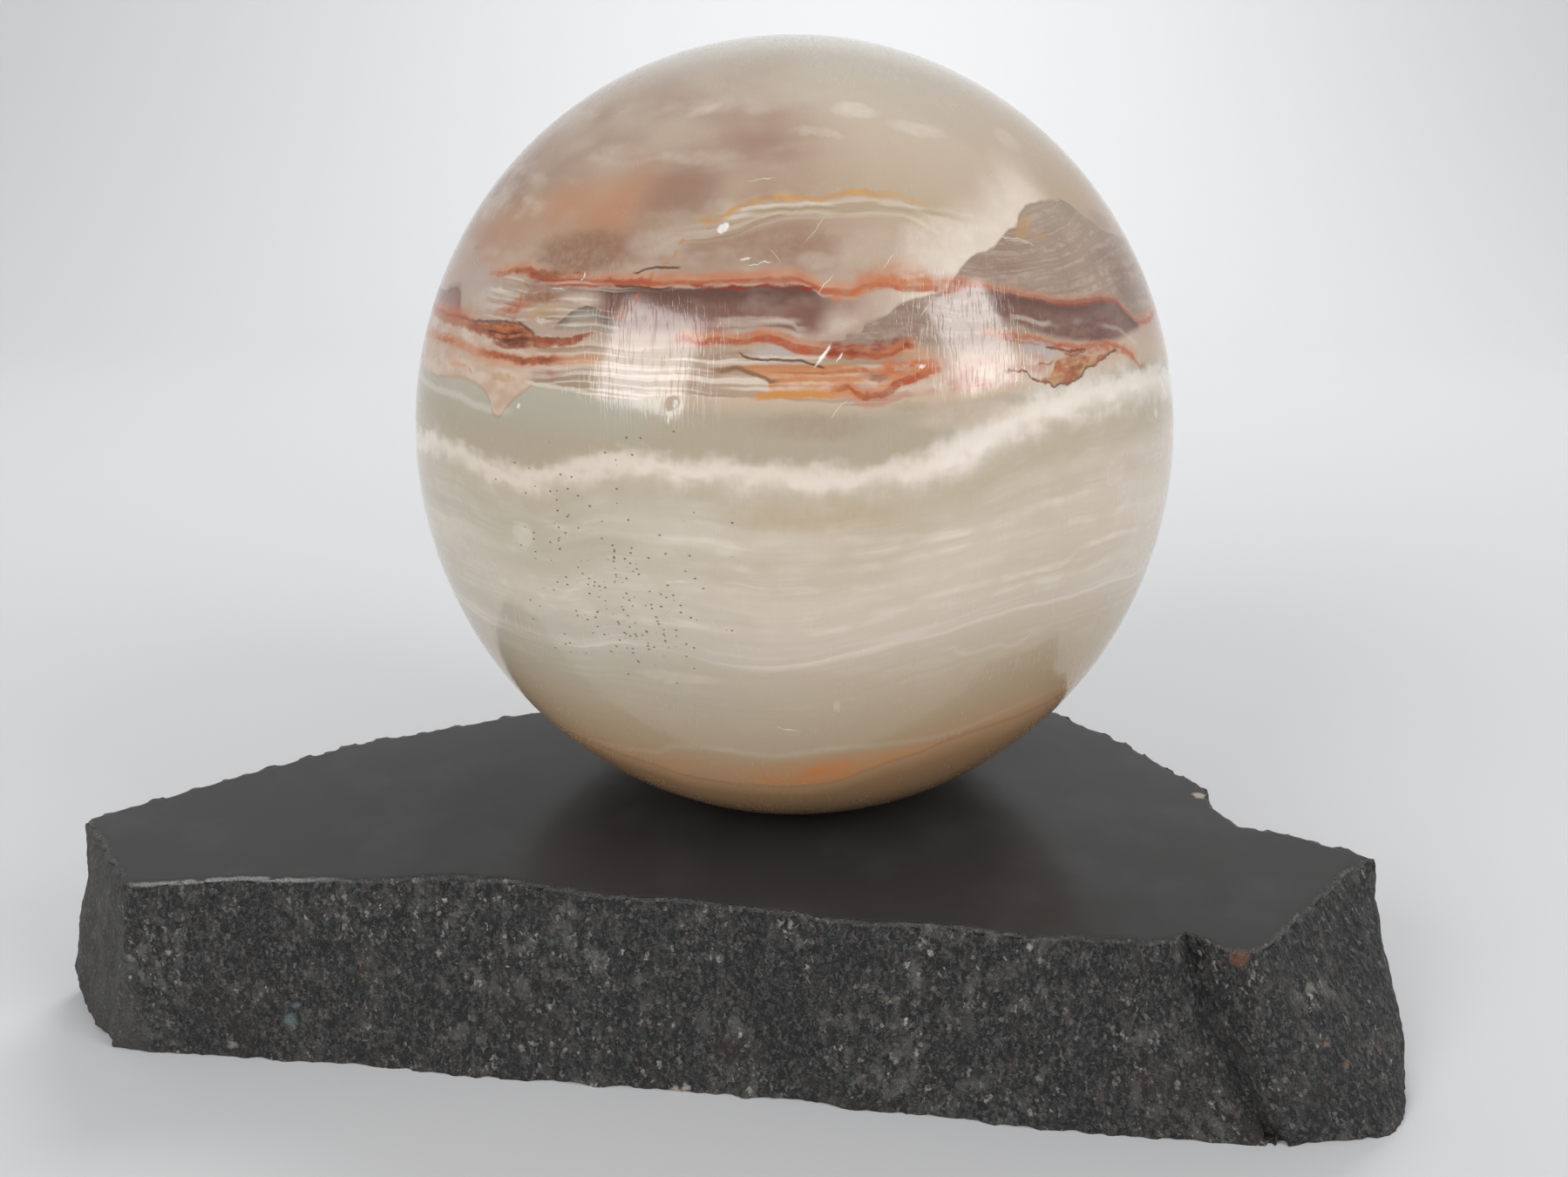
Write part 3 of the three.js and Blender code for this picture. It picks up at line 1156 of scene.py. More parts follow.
TAN = paint(194, 148, 110)
ORANGE_TAN = paint(208, 140, 88)
RIM_BROWN = paint(128, 92, 62)
TAN_TOP = [
    (-180, -23), (-110, -25), (-50, -26.5), (-23, -25.4), (-14, -23), (-5, -23.4), (5, -22.6),
    (22, -22.3), (38, -20.5), (70, -20), (120, -22), (180, -23),
]
tan_top = course(TAN_TOP)
tan_band = layer(tan_top, band_foot, 3.6, 0.7, height=soft_height)
tan_glow = both(span(2, 28, 14), calc(tree, "ADD", 0.5, blotches))
stain(both(tan_band, calc(tree, "ADD", 0.45, strength(tan_glow, 0.6))), 0.8, TAN, ORANGE_TAN, tone=tan_glow)
stain(trace(tan_top, (-24, 24), 0.05, 0.7, 30.0, height=soft_height), 0.14, PALE_LINE)
stain(trace(band_foot, (-180, 180), 0.05, 0.5, 5.0, height=soft_height), 0.25, RIM_BROWN)

# %% [markdown]
# The white cloud
#
# The middle carries a fluffy white bed, made of crystals that grew upright. It is a soft body that
# fades a long way down with a brighter core along its top, thinner at the left. The height that
# draws it is disturbed by soft blotches, a few crumbs and an upright noise.

# %% Onyx: the cloud
CLOUD_WHITE = paint(242, 230, 217)
CLOUD_SOFT = paint(220, 209, 196)
puff = calc(tree, "ADD", up, strength(calc(tree, "SUBTRACT", upright_streaks, 0.5), 0.3))
puff = calc(tree, "ADD", puff, strength(calc(tree, "SUBTRACT", blotches, 0.5), 0.8))
puff = calc(tree, "ADD", puff, strength(calc(tree, "SUBTRACT", crumbs, 0.5), 0.25))
to_right = span(24, 80, 14)
cloud_top = calc(tree, "ADD", cloud, calc(tree, "ADD", 1.4, strength(to_right, 1.6)))
cloud_foot = calc(tree, "SUBTRACT", cloud, 4.4)
cloud_body = layer(cloud_top, cloud_foot, 2.6, 5.4, height=puff)
thicker = rise(tree, angle, -34.0, -14.0)
stain(both(cloud_body, calc(tree, "ADD", 0.6, strength(thicker, 0.4))), 0.75, CLOUD_SOFT)
core_top = calc(tree, "ADD", cloud, calc(tree, "ADD", 1.1, strength(to_right, 0.9)))
cloud_core = layer(core_top, calc(tree, "SUBTRACT", cloud, 2.5), 2.4, 3.0, height=puff)
core_fill = calc(tree, "ADD", 0.78, strength(both(thicker, blotches), 0.22))
stain(both(cloud_core, core_fill), 0.95, CLOUD_WHITE)
fleece = both(
    layer(calc(tree, "ADD", cloud, 1.6), calc(tree, "SUBTRACT", cloud, 1.8), 1.0, 1.4, height=puff),
    calc(tree, "MAXIMUM", span(-85, -58, 4), span(66, 90, 8)),
)
stain(both(fleece, calc(tree, "ADD", 0.4, upright_streaks)), 0.7, MILK)
dab([
    (58, 8.4, 0.5, 0.6, 0.0, MILK, 0.8),
    (58, 9.6, 0.25, 1.2, 0.0, MILK, 0.4),
])

# %% [markdown]
# The upper half
#
# Above the cloud the stone changed as it grew. Iron coloured it: cream lines, mauve beds, orange
# and rust veins where water seeped in, and an old break that slipped and healed, so that the cream
# above it ends in a scalloped edge against the taupe below it. None of this reaches down past
# the cloud, so the colour so far is kept for a shader of the calm stone. The rust at the left and
# the pocket at the right are likewise laid on one colour each. A render then works out only the
# paint that is near.

# %% Onyx: keep the calm stone's colour
VEINS_FROM = 7.5
LEFT_UNTIL = -12.0
calm_colour = onyx_colour
print("nodes up to the cloud:", len(tree.nodes))

# %% Onyx: the cream zone
CREAM = paint(208, 186, 168)
CREAM_SHADE = paint(190, 158, 136)
CREAM_GREY = paint(152, 126, 100)
TOOTH = [
    (-85, 12.0), (-60, 12.1), (-56, 12.3), (-52, 12.7), (-49, 12.8), (-46, 12.5), (-44, 12.1),
    (-42.5, 11.3), (-41, 10.2), (-39.5, 10.9), (-38, 11.9), (-36.5, 12.7), (-35, 13.6),
    (-34, 14.4), (-33.2, 15.6),
]
LINED_FOOT = [
    (-33, 13.6), (-28, 13.3), (-24, 12.9), (-20, 13.0), (-15, 13.6), (-10, 13.6), (-5, 13.7),
    (0, 13.4), (5, 13.1), (8, 12.9), (12, 13.5), (18, 13.7), (26, 13.9),
]
tooth = course(TOOTH)
stain(both(layer(tooth, 8.5, 0.15, 3.0), span(-88, -22, 8)), 0.75, GREEN_GREY)
LEFT_PALE = [(-85, 10.8), (-62, 10.8), (-55, 10.9), (-50, 11.0), (-45, 10.6), (-40, 10.8)]
stain(line(LEFT_PALE, 0.08, 0.5, 3.0), 0.4, PALE_LINE)
tooth_zone = both(layer(18.4, tooth, 1.2, 0.12), span(-88, -33.4, 0.6))
stain(tooth_zone, 0.85, CREAM_SHADE, CREAM, tone=blotches)
stain(trace(tooth, (-60, -34), 0.04, 0.25, 3.0), 0.35, CREAM_GREY)
lined_zone = both(layer(18.2, course(LINED_FOOT), 1.2, 0.25), span(-33.2, 13, 3))
stain(lined_zone, 0.75, CREAM_GREY, CREAM, tone=fine_lines)
whiter = both(lined_zone, span(-24, -4, 5))
stain(both(whiter, calc(tree, "ADD", 0.35, fine_lines)), 0.22, MILK)
HAIR_BROWN = paint(150, 118, 94)
stain(both(whiter, hair_lines, flakes), 0.55, HAIR_BROWN)
second_cream = [(-35, 13.7), (-30, 13.6), (-26, 13.3)]
stain(line(second_cream, 0.08, 0.2, 2.0), 0.6, PALE_LINE)
right_pale = both(layer(17.4, 13.6, 1.6, 0.6), span(17, 32, 5))
PINK_WHITE = paint(190, 138, 122)
stain(right_pale, 0.75, CREAM, PINK_WHITE, tone=blotches)

# %% Onyx: haze of the upper half
PINK_HAZE = paint(146, 112, 93)
BROWN_HAZE = paint(140, 102, 78)
ORANGE_HAZE = paint(186, 132, 94)
PINK_GREY = paint(176, 158, 148)
CLEAR_CREAM = paint(220, 204, 188)
pink_zone = both(layer(46.0, 22.5, 12.0, 3.0, height=soft_height), span(-78, -8, 22))
stain(both(pink_zone, calc(tree, "ADD", 0.5, haze)), 0.6, PINK_HAZE)
ORANGE_WAY = [(-62, 25.4), (-50, 26.8), (-40, 28.2), (-28, 29.6)]
orange_haze = line(ORANGE_WAY, 0.6, 4.2, 9.0, height=soft_height)
stain(both(orange_haze, calc(tree, "ADD", 0.4, haze)), 0.5, ORANGE_HAZE)
stain(both(pink_zone, broad_lines, blotches), 0.3, WARM_WHITE)
dab([
    (-31, 25.3, 8.5, 2.4, 0.05, BROWN_HAZE, 0.95),
    (-38, 29.6, 8.0, 2.0, 0.1, ORANGE_HAZE, 0.3),
    (-18, 30.0, 6.0, 2.6, 0.0, PINK_HAZE, 0.55),
    (-62, 23.2, 7.0, 2.6, 0.0, PINK_GREY, 0.5),
    (-50, 21.4, 7.5, 2.4, 0.0, PINK_GREY, 0.7),
    (-46, 20.2, 5.5, 1.6, 0.0, WARM_WHITE, 0.35),
    (-28, 21.3, 3.8, 0.7, 0.0, WARM_WHITE, 0.5),
    (20, 26.6, 5.0, 3.0, 0.1, CLEAR_CREAM, 0.65),
    (-5, 26.4, 8.0, 2.4, 0.0, PINK_HAZE, 0.5),
    (-8, 26.6, 2.6, 1.0, 0.0, BROWN_HAZE, 0.35),
    (0, 25.6, 5.0, 2.4, 0.0, BROWN_HAZE, 0.4),
    (-20, 26.2, 4.0, 1.4, 0.0, WARM_WHITE, 0.3),
    (9, 26.0, 4.0, 1.8, 0.2, WARM_WHITE, 0.15),
    (2, 24.9, 2.4, 1.0, 0.0, WARM_WHITE, 0.3),
    (13, 24.0, 3.4, 1.4, 0.2, ORANGE_HAZE, 0.6),
    (5, 20.2, 3.4, 1.5, 0.25, CLEAR_CREAM, 0.5),
    (12, 37.6, 4.0, 0.9, -0.05, WARM_WHITE, 0.6),
    (24, 36.0, 5.0, 0.8, -0.1, WARM_WHITE, 0.45),
    (4, 35.6, 4.0, 0.6, -0.1, WARM_WHITE, 0.3),
    (2, 11.4, 6.0, 1.6, 0.0, BROWN_HAZE, 0.3),
    (22, 11.8, 7.0, 1.4, 0.05, CREAM, 0.5),
    (46, 35.0, 3.0, 1.4, 0.0, WARM_WHITE, 0.3),
    (-20, 37.6, 3.0, 0.6, 0.2, WARM_WHITE, 0.3),
    (60, 27.2, 4.0, 1.2, -0.1, PINK_HAZE, 0.4),
])

# %% Onyx: ochre and olive lines
OCHRE_DEEP = paint(178, 120, 58)
OCHRE_BRIGHT = paint(196, 150, 92)
OLIVE = paint(156, 138, 104)
OCHRE_LINE = [
    (-12, 28.2), (-9.5, 29.0), (-7, 29.6), (-4, 30.0), (0, 30.1), (3, 30.0), (5, 30.3), (8, 30.5),
    (12, 30.4),
]
olive_zone = both(
    layer(calc(tree, "SUBTRACT", ochre, 0.1), calc(tree, "SUBTRACT", ochre, 2.4), 0.5, 1.0),
    span(-12, 15, 8),
)
stain(olive_zone, 0.3, OLIVE, PALE_LINE)
for points, amount in (
    ([(-8, 29.0), (-5, 29.3), (0, 29.4), (4, 29.6)], 0.6),
    ([(-10, 28.4), (-5, 28.7), (0, 28.8), (4, 28.9)], 0.4),
    ([(14, 29.6), (19, 29.1), (24, 28.6), (28, 28.0)], 0.4),
):
    stain(line(points, 0.06, 0.22, 3.0), amount, PALE_LINE)
for points, amount in (
    ([(-22, 28.0), (-15, 28.1), (-12, 28.4)], 0.35),
    ([(20, 28.9), (24, 28.4), (27, 27.9)], 0.55),
    ([(-6, 28.9), (0, 29.1), (4, 29.2)], 0.4),
):
    stain(line(points, 0.08, 0.4, 3.0), amount, OLIVE)
ochre_mask = both(line(OCHRE_LINE, 0.06, 0.4, 4.0, height=ragged_height), calc(tree, "ADD", 0.25, blotches))
stain(ochre_mask, 0.85, OCHRE_DEEP, OCHRE_BRIGHT, tone=blotches)
ochre_tail = line([(12, 30.4), (17, 30.0), (21, 29.2), (25, 28.3), (28, 27.8)], 0.05, 0.35, 3.0)
stain(both(ochre_tail, blotches), 0.45, OCHRE_BRIGHT)

# %% Onyx: the slipped break
TAUPE = paint(137, 111, 94)
TAUPE_GREY = paint(164, 142, 124)
TAUPE_TOP = paint(156, 141, 122)
BREAK_BROWN = paint(118, 92, 74)
SLIP = [
    (5.7, 18.5), (6, 19.1), (7.5, 19.0), (8.5, 19.9), (10, 20.1), (11.5, 20.5), (13, 21.2),
    (15, 21.7), (19, 22.1), (20, 22.4), (20.8, 23.0), (22, 23.7), (24, 24.6), (25.5, 25.1),
    (29, 25.6), (30, 26.0), (31.5, 26.7), (33, 27.2), (34.5, 27.3), (36.5, 28.4), (39.5, 29.1),
    (48, 29.4), (54, 27.8), (60, 26.2), (70, 25.2), (80, 24.6),
]
slip = course(SLIP)
below_slip = both(layer(slip, 16.6, 0.12, 2.0), span(6, 82, 8), span(-90, 60, 28))
stain(below_slip, 0.9, TAUPE, TAUPE_GREY, tone=haze)
stain(both(layer(slip, 26.0, 0.3, 2.0), span(34, 56, 5)), 0.6, TAUPE_TOP)
stain(both(below_slip, broad_lines, blotches), 0.35, TAUPE_GREY)
stain(both(below_slip, fine_lines, flakes), 0.22, CLEAR_CREAM)
wedge = both(layer(calc(tree, "ADD", slip, 6.0), slip, 5.5, 0.1), span(18, 38, 10))
stain(wedge, 0.8, CLEAR_CREAM, MILK, tone=blotches)
slip_shade = both(trace(slip, (8, 46), 0.04, 0.2, 5.0), calc(tree, "ADD", 0.2, blotches))
stain(slip_shade, 0.35, BREAK_BROWN)
OCHRE_TAN = paint(176, 136, 84)
dab([
    (36.3, 27.3, 2.0, 1.0, 0.4, OCHRE_TAN, 0.75),
    (39, 26.3, 2.0, 0.3, -0.2, ORANGE_HAZE, 0.45),
    (33.5, 26.35, 2.4, 0.14, -0.15, PALE_LINE, 0.7),
    (34.5, 26.0, 2.4, 0.12, -0.15, PALE_LINE, 0.5),
    (32.5, 25.6, 2.4, 0.5, 0.0, OLIVE, 0.4),
    (57, 21.0, 3.4, 3.4, 0.0, TAUPE, 0.6),
    (14.5, 20.2, 3.4, 1.3, 0.3, TAUPE, 0.45),
])

# %% Onyx: mauve beds
MAUVE_DARK = paint(84, 52, 44)
MAUVE = paint(98, 57, 45)
MAUVE_PALE = paint(124, 82, 68)
MAUVE_PINK = paint(152, 104, 92)
UPPER_RED = [
    (-46, 22.7), (-42, 23.2), (-38, 22.9), (-34, 22.6), (-30, 22.5), (-26, 22.8), (-20, 22.9),
    (-14.5, 23.0), (-12, 23.2), (-4, 23.35), (-1, 23.35), (1, 23.1), (2.5, 22.8), (4, 22.4),
    (6, 22.4), (8, 22.7), (10, 22.9), (13, 22.7), (19, 22.4),
]
RIGHT_RED = [
    (21, 23.0), (26, 22.4), (28, 22.1), (31, 21.6), (34, 21.2), (37, 20.7), (40, 20.5),
    (46, 20.5), (49, 20.3), (51, 20.0), (53, 19.2), (55, 18.3), (56.5, 17.7), (60, 17.4), (66, 17.3),
]
LEFT_BED_TOP = [
    (-90, 19.8), (-72, 20.0), (-66, 20.3), (-62, 20.8), (-60, 21.0), (-58.5, 20.7), (-57, 19.8),
    (-56, 19.0), (-55, 18.5), (-54, 18.1),
]
upper_red = course(UPPER_RED)
right_red = course(RIGHT_RED)
left_bed_top = course(LEFT_BED_TOP)
left_bed = both(layer(left_bed_top, 17.2, 0.25, 1.0), span(-88, -54.5, 1.0))
stain(left_bed, 0.8, MAUVE_PALE, MAUVE_PINK, tone=under(left_bed_top, 2.2))
stain(trace(left_bed_top, (-64, -54.5), 0.05, 0.5, 3.0), 0.3, MAUVE_DARK)

middle_top = calc(tree, "SUBTRACT", upper_red, 0.35)
middle_bed = both(layer(middle_top, 18.4, 0.25, 1.2), span(-25, 1.5, 4))
stain(middle_bed, 0.9, MAUVE, MAUVE_PALE, tone=under(middle_top, 4.4))
smoke_right = both(layer(middle_top, 19.6, 0.5, 1.6), span(0, 7, 3))
stain(smoke_right, 0.5, MAUVE_PALE)
top_shade = both(layer(middle_top, 21.0, 0.2, 1.4), span(-33, 2, 3))
stain(top_shade, 0.6, MAUVE_DARK)
RIGHT_BED_FOOT = [(25, 20.2), (30, 18.6), (36, 17.2), (48, 16.2), (58, 16.8)]
right_bed = both(layer(right_red, course(RIGHT_BED_FOOT), 0.2, 0.8), span(28, 56, 4))
stain(right_bed, 0.85, MAUVE, MAUVE_PALE, tone=both(under(right_red, 3.4), flakes))
right_shade = both(layer(right_red, calc(tree, "SUBTRACT", right_red, 1.3), 0.2, 1.0), span(29, 55, 3))
stain(right_shade, 0.55, MAUVE_DARK)
smoke = both(calc(tree, "MAXIMUM", middle_bed, right_bed), broad_lines, blotches)
stain(smoke, 0.18, CLEAR_CREAM)
for points, amount in (
    ([(-10, 19.6), (-6, 19.7), (-2, 19.9), (0, 19.4)], 0.35),
    ([(-9, 20.0), (-5, 20.1), (-1, 20.0)], 0.3),
    ([(-8, 19.1), (-4, 19.3), (0, 18.9)], 0.35),
    ([(30, 19.7), (32, 19.3), (34, 18.9)], 0.4),
    ([(47, 18.0), (50, 17.4), (54, 15.8)], 0.25),
):
    stain(line(points, 0.06, 0.3, 2.0), amount, PALE_LINE)
dab([
    (-11, 19.3, 2.4, 0.9, 0.0, MAUVE_PINK, 0.5),
    (45, 17.3, 2.4, 0.8, 0.0, MAUVE, 0.6),
])

# %% Onyx: the grey lens at the left
LENS_DARK = paint(104, 92, 82)
LENS = paint(150, 136, 120)
LENS_TOP = [
    (-33.6, 18.6), (-32, 19.6), (-30, 20.5), (-28, 20.8), (-26.5, 20.5), (-25, 20.0), (-23, 20.2),
]
lens_top = course(LENS_TOP)
lens = both(layer(lens_top, 18.3, 0.15, 0.5), span(-33.6, -24, 1.5))
stain(lens, 0.85, LENS, PALE_LINE, tone=strength(fine_lines, 0.5))
stain(both(lens, without(under(lens_top, 1.5)), span(-32, -25, 2)), 0.9, LENS_DARK)
stain(both(layer(22.9, 21.6, 0.2, 0.8), span(-33, -15, 2), hair_lines), 0.7, LENS_DARK)

# %% Onyx: orange zone
ORANGE = paint(190, 116, 62)
ORANGE_PALE = paint(200, 146, 106)
ORANGE_BRIGHT = paint(199, 132, 64)
ORANGE_DEEP = paint(168, 92, 44)
BLUE_GREY = paint(176, 166, 162)
orange_top = course([(-13, 16.0), (-8, 16.3), (-4, 16.6), (4, 16.7), (8, 16.4), (12, 15.9), (15, 15.6)])
ORANGE_FOOT = [
    (-13, 15.8), (-7, 15.9), (-5, 15.5), (-3.5, 15.0), (-3.2, 13.8), (6, 13.7), (9, 14.2), (15, 15.3),
]
orange_foot = course(ORANGE_FOOT)
orange_zone = layer(orange_top, orange_foot, 0.25, 0.25)
stain(both(orange_zone, span(-12, 13, 2)), 0.85, ORANGE, ORANGE_PALE, tone=under(orange_top, 1.6))
stain(both(orange_zone, hair_lines, span(-12, 13, 2)), 0.6, ORANGE_DEEP)
stain(both(orange_zone, fine_lines, flakes, span(-10, 10, 3)), 0.4, PALE_LINE)
for points, half, colour, amount in (
    ([(-4, 13.9), (0, 14.1), (4, 14.1), (7, 13.8)], 0.2, ORANGE_BRIGHT, 0.85),
    ([(-3, 15.2), (2, 15.35), (7, 15.3)], 0.08, ORANGE, 0.7),
    ([(-9, 15.9), (-7, 16.1), (-6, 15.9), (-4, 15.4), (-3.2, 15.1)], 0.06, RIM_BROWN, 0.9),
    ([(5.5, 13.9), (7, 13.4), (8.5, 13.1), (10, 13.2), (11.5, 13.7), (13, 14.0)], 0.1, PINK_WHITE, 0.7),
):
    stain(line(points, half, 0.25, 1.5), amount, colour)
dab([
    (-2, 17.6, 3.4, 0.55, 0.0, BLUE_GREY, 0.85),
    (9.5, 15.4, 1.9, 0.45, -0.1, MAUVE_PALE, 0.7),
    (8, 14.6, 0.8, 0.4, 0.0, BLUE_GREY, 0.85),
    (13.5, 13.0, 2.2, 0.7, 0.0, OLIVE, 0.4),
    (27, 12.9, 1.8, 0.5, 0.0, GREEN_GREY, 0.6),
    (12, 17.6, 1.8, 0.6, 0.1, ORANGE, 0.7),
    (15, 17.2, 2.0, 1.0, 0.0, ORANGE_PALE, 0.6),
])


# %% Onyx: red veins
RED = paint(132, 44, 18)
RED_BRIGHT = paint(170, 72, 32)
GLOW = paint(188, 106, 60)
GLOW_PALE = paint(200, 140, 100)
RUST_STRAND = paint(176, 88, 40)
uneven = calc(tree, "ADD", 0.35, strength(blotches, 1.5))


def red_vein(points, amount, fade=2.5, half=0.07, glow=0.7, height=None, along=None):
    """A crisp, broken red thread in an orange glow that lies mostly above it."""
    way = course(points, along)
    ends = (points[0][0], points[-1][0])
    raised_way = calc(tree, "ADD", way, glow * 0.4)
    soft = trace(raised_way, ends, half, glow * 1.2, fade, height, along)
    stain(soft, amount * 0.8, GLOW, GLOW_PALE, tone=blotches)
    thread = trace(way, ends, strength(uneven, half), 0.24, fade, height, along)
    broken_thread = both(thread, calc(tree, "ADD", 0.45, strength(flakes, 0.55)))
    stain(broken_thread, amount, RED, RED_BRIGHT, tone=flakes)


SECOND_RED = [
    (-13.5, 18.3), (-12, 18.1), (-10, 18.3), (-8, 18.2), (-6, 18.3), (-4.5, 18.6), (-3, 18.5),
    (-1.5, 18.2), (0, 17.8), (2, 17.6), (4, 17.4), (7, 17.3), (10, 17.1), (12, 17.4), (13.5, 17.9),
]
SECOND_RIGHT = [
    (25, 18.5), (28, 18.2), (31, 17.9), (33, 17.5), (35, 17.1), (38, 16.8), (40, 16.5), (46, 16.4),
    (49, 15.9), (52, 14.6), (54, 13.4),
]
HOOK = [(6, 14.5), (6.8, 14.1), (8, 13.8), (9.5, 13.9), (11, 14.3), (12, 14.8), (14, 15.2), (16, 15.7)]
red_vein(UPPER_RED, 0.8, fade=6.0, half=0.1, glow=0.7)
stain(trace(upper_red, (-38, -22), 0.2, 0.3, 4.0, height=ragged_height), 0.6, RED, RED_BRIGHT, tone=flakes)
red_vein(RIGHT_RED, 0.5, fade=5.0, half=0.08, glow=0.55)
stain(trace(right_red, (38, 52), 0.08, 0.4, 4.0), 0.5, RED)
red_vein(SECOND_RED, 0.9, half=0.16, glow=0.6)
red_vein(SECOND_RIGHT, 0.6, half=0.07, glow=0.35, height=ragged_height)
red_vein(HOOK, 0.95, half=0.2, glow=0.6, height=ragged_height)
for points, half, soft, colour, amount in (
    ([(-13, 22.9), (-8, 22.8), (-2, 22.9), (1, 22.6)], 0.06, 0.2, RED, 0.7),
    ([(-43, 23.3), (-40, 23.4), (-36, 23.2), (-31, 23.1)], 0.08, 0.3, RED, 0.5),
    ([(4, 17.8), (7, 17.7), (10, 17.9), (13, 18.2)], 0.3, 0.4, RED, 0.55),
    ([(5, 22.0), (8, 22.5), (12, 23.1), (17, 23.0)], 0.1, 0.6, GLOW, 0.5),
    ([(9, 23.4), (13, 23.6), (17, 23.3)], 0.3, 1.0, GLOW, 0.35),
    ([(11, 16.0), (13, 16.3), (16, 16.0)], 0.3, 0.6, GLOW, 0.7),
    ([(38, 16.2), (43, 16.1), (48, 15.8), (52, 14.6)], 0.15, 0.5, RUST_STRAND, 0.6),
    ([(27, 18.0), (32, 17.2), (36, 16.9)], 0.04, 0.2, RED_BRIGHT, 0.6),
):
    strand = line(points, half, soft, 2.0, height=ragged_height)
    stain(both(strand, calc(tree, "ADD", 0.4, flakes)), amount, colour)

# %% Onyx: rust veins
RUST = paint(122, 44, 0)
RUST_BRIGHT = paint(164, 76, 16)
RUST_PALE = paint(168, 102, 66)
RUST_DARK = paint(72, 34, 16)
front_colour = onyx_colour
LEFT_TOP = [
    (-85, 18.6), (-63, 18.3), (-54, 18.1), (-50, 18.2), (-46, 18.45), (-43, 18.7), (-41, 18.95),
    (-39.5, 18.7), (-37.5, 18.2), (-36, 18.0), (-33, 17.85), (-31, 17.9), (-29, 18.2), (-27, 18.4),
    (-25.5, 18.7),
]
LEFT_FOOT = [
    (-85, 17.4), (-60, 17.0), (-50, 17.0), (-46, 16.8), (-43, 16.6), (-40, 16.4), (-36, 16.6),
    (-34, 16.7), (-31, 16.9), (-29, 17.3), (-27, 18.0), (-25.5, 18.5),
]
left_top = course(LEFT_TOP)
left_vein = layer(left_top, course(LEFT_FOOT), 0.12, 0.5, height=ragged_height)
stain(both(left_vein, span(-86, -26, 4)), 0.85, RUST_PALE)
deeper = both(left_vein, span(-48, -26, 6), calc(tree, "ADD", 0.55, strength(blotches, 0.6)))
stain(deeper, 0.95, RUST, RUST_BRIGHT, tone=calc(tree, "MULTIPLY", flakes, fine_lines))
stain(both(deeper, hair_lines, span(-46, -34, 3)), 0.75, RUST_DARK)
stain(both(left_vein, span(-52, -38, 5), fine_lines, flakes), 0.4, GLOW_PALE)
stain(trace(left_top, (-54, -37), 0.05, 0.16, 2.0), 0.7, RUST_DARK)
LEFT_LOWER = [
    (-60, 15.8), (-55, 15.9), (-50, 15.7), (-45, 15.5), (-42, 15.7), (-38, 15.5), (-34, 15.8),
    (-28, 16.2),
]
lower_glow = trace(course(LEFT_LOWER), (-58, -28), 0.15, 0.55, 5.0)
stain(lower_glow, 0.65, GLOW, GLOW_PALE, tone=blotches)
lower_rust = trace(course(LEFT_LOWER), (-44, -33), 0.16, 0.3, 4.0, height=ragged_height)
stain(lower_rust, 0.8, RUST, RUST_BRIGHT, tone=flakes)
LEFT_THIRD = [(-43, 16.6), (-40, 16.5), (-38, 16.7)]
stain(line(LEFT_THIRD, 0.06, 0.2, 2.0), 0.7, RUST)

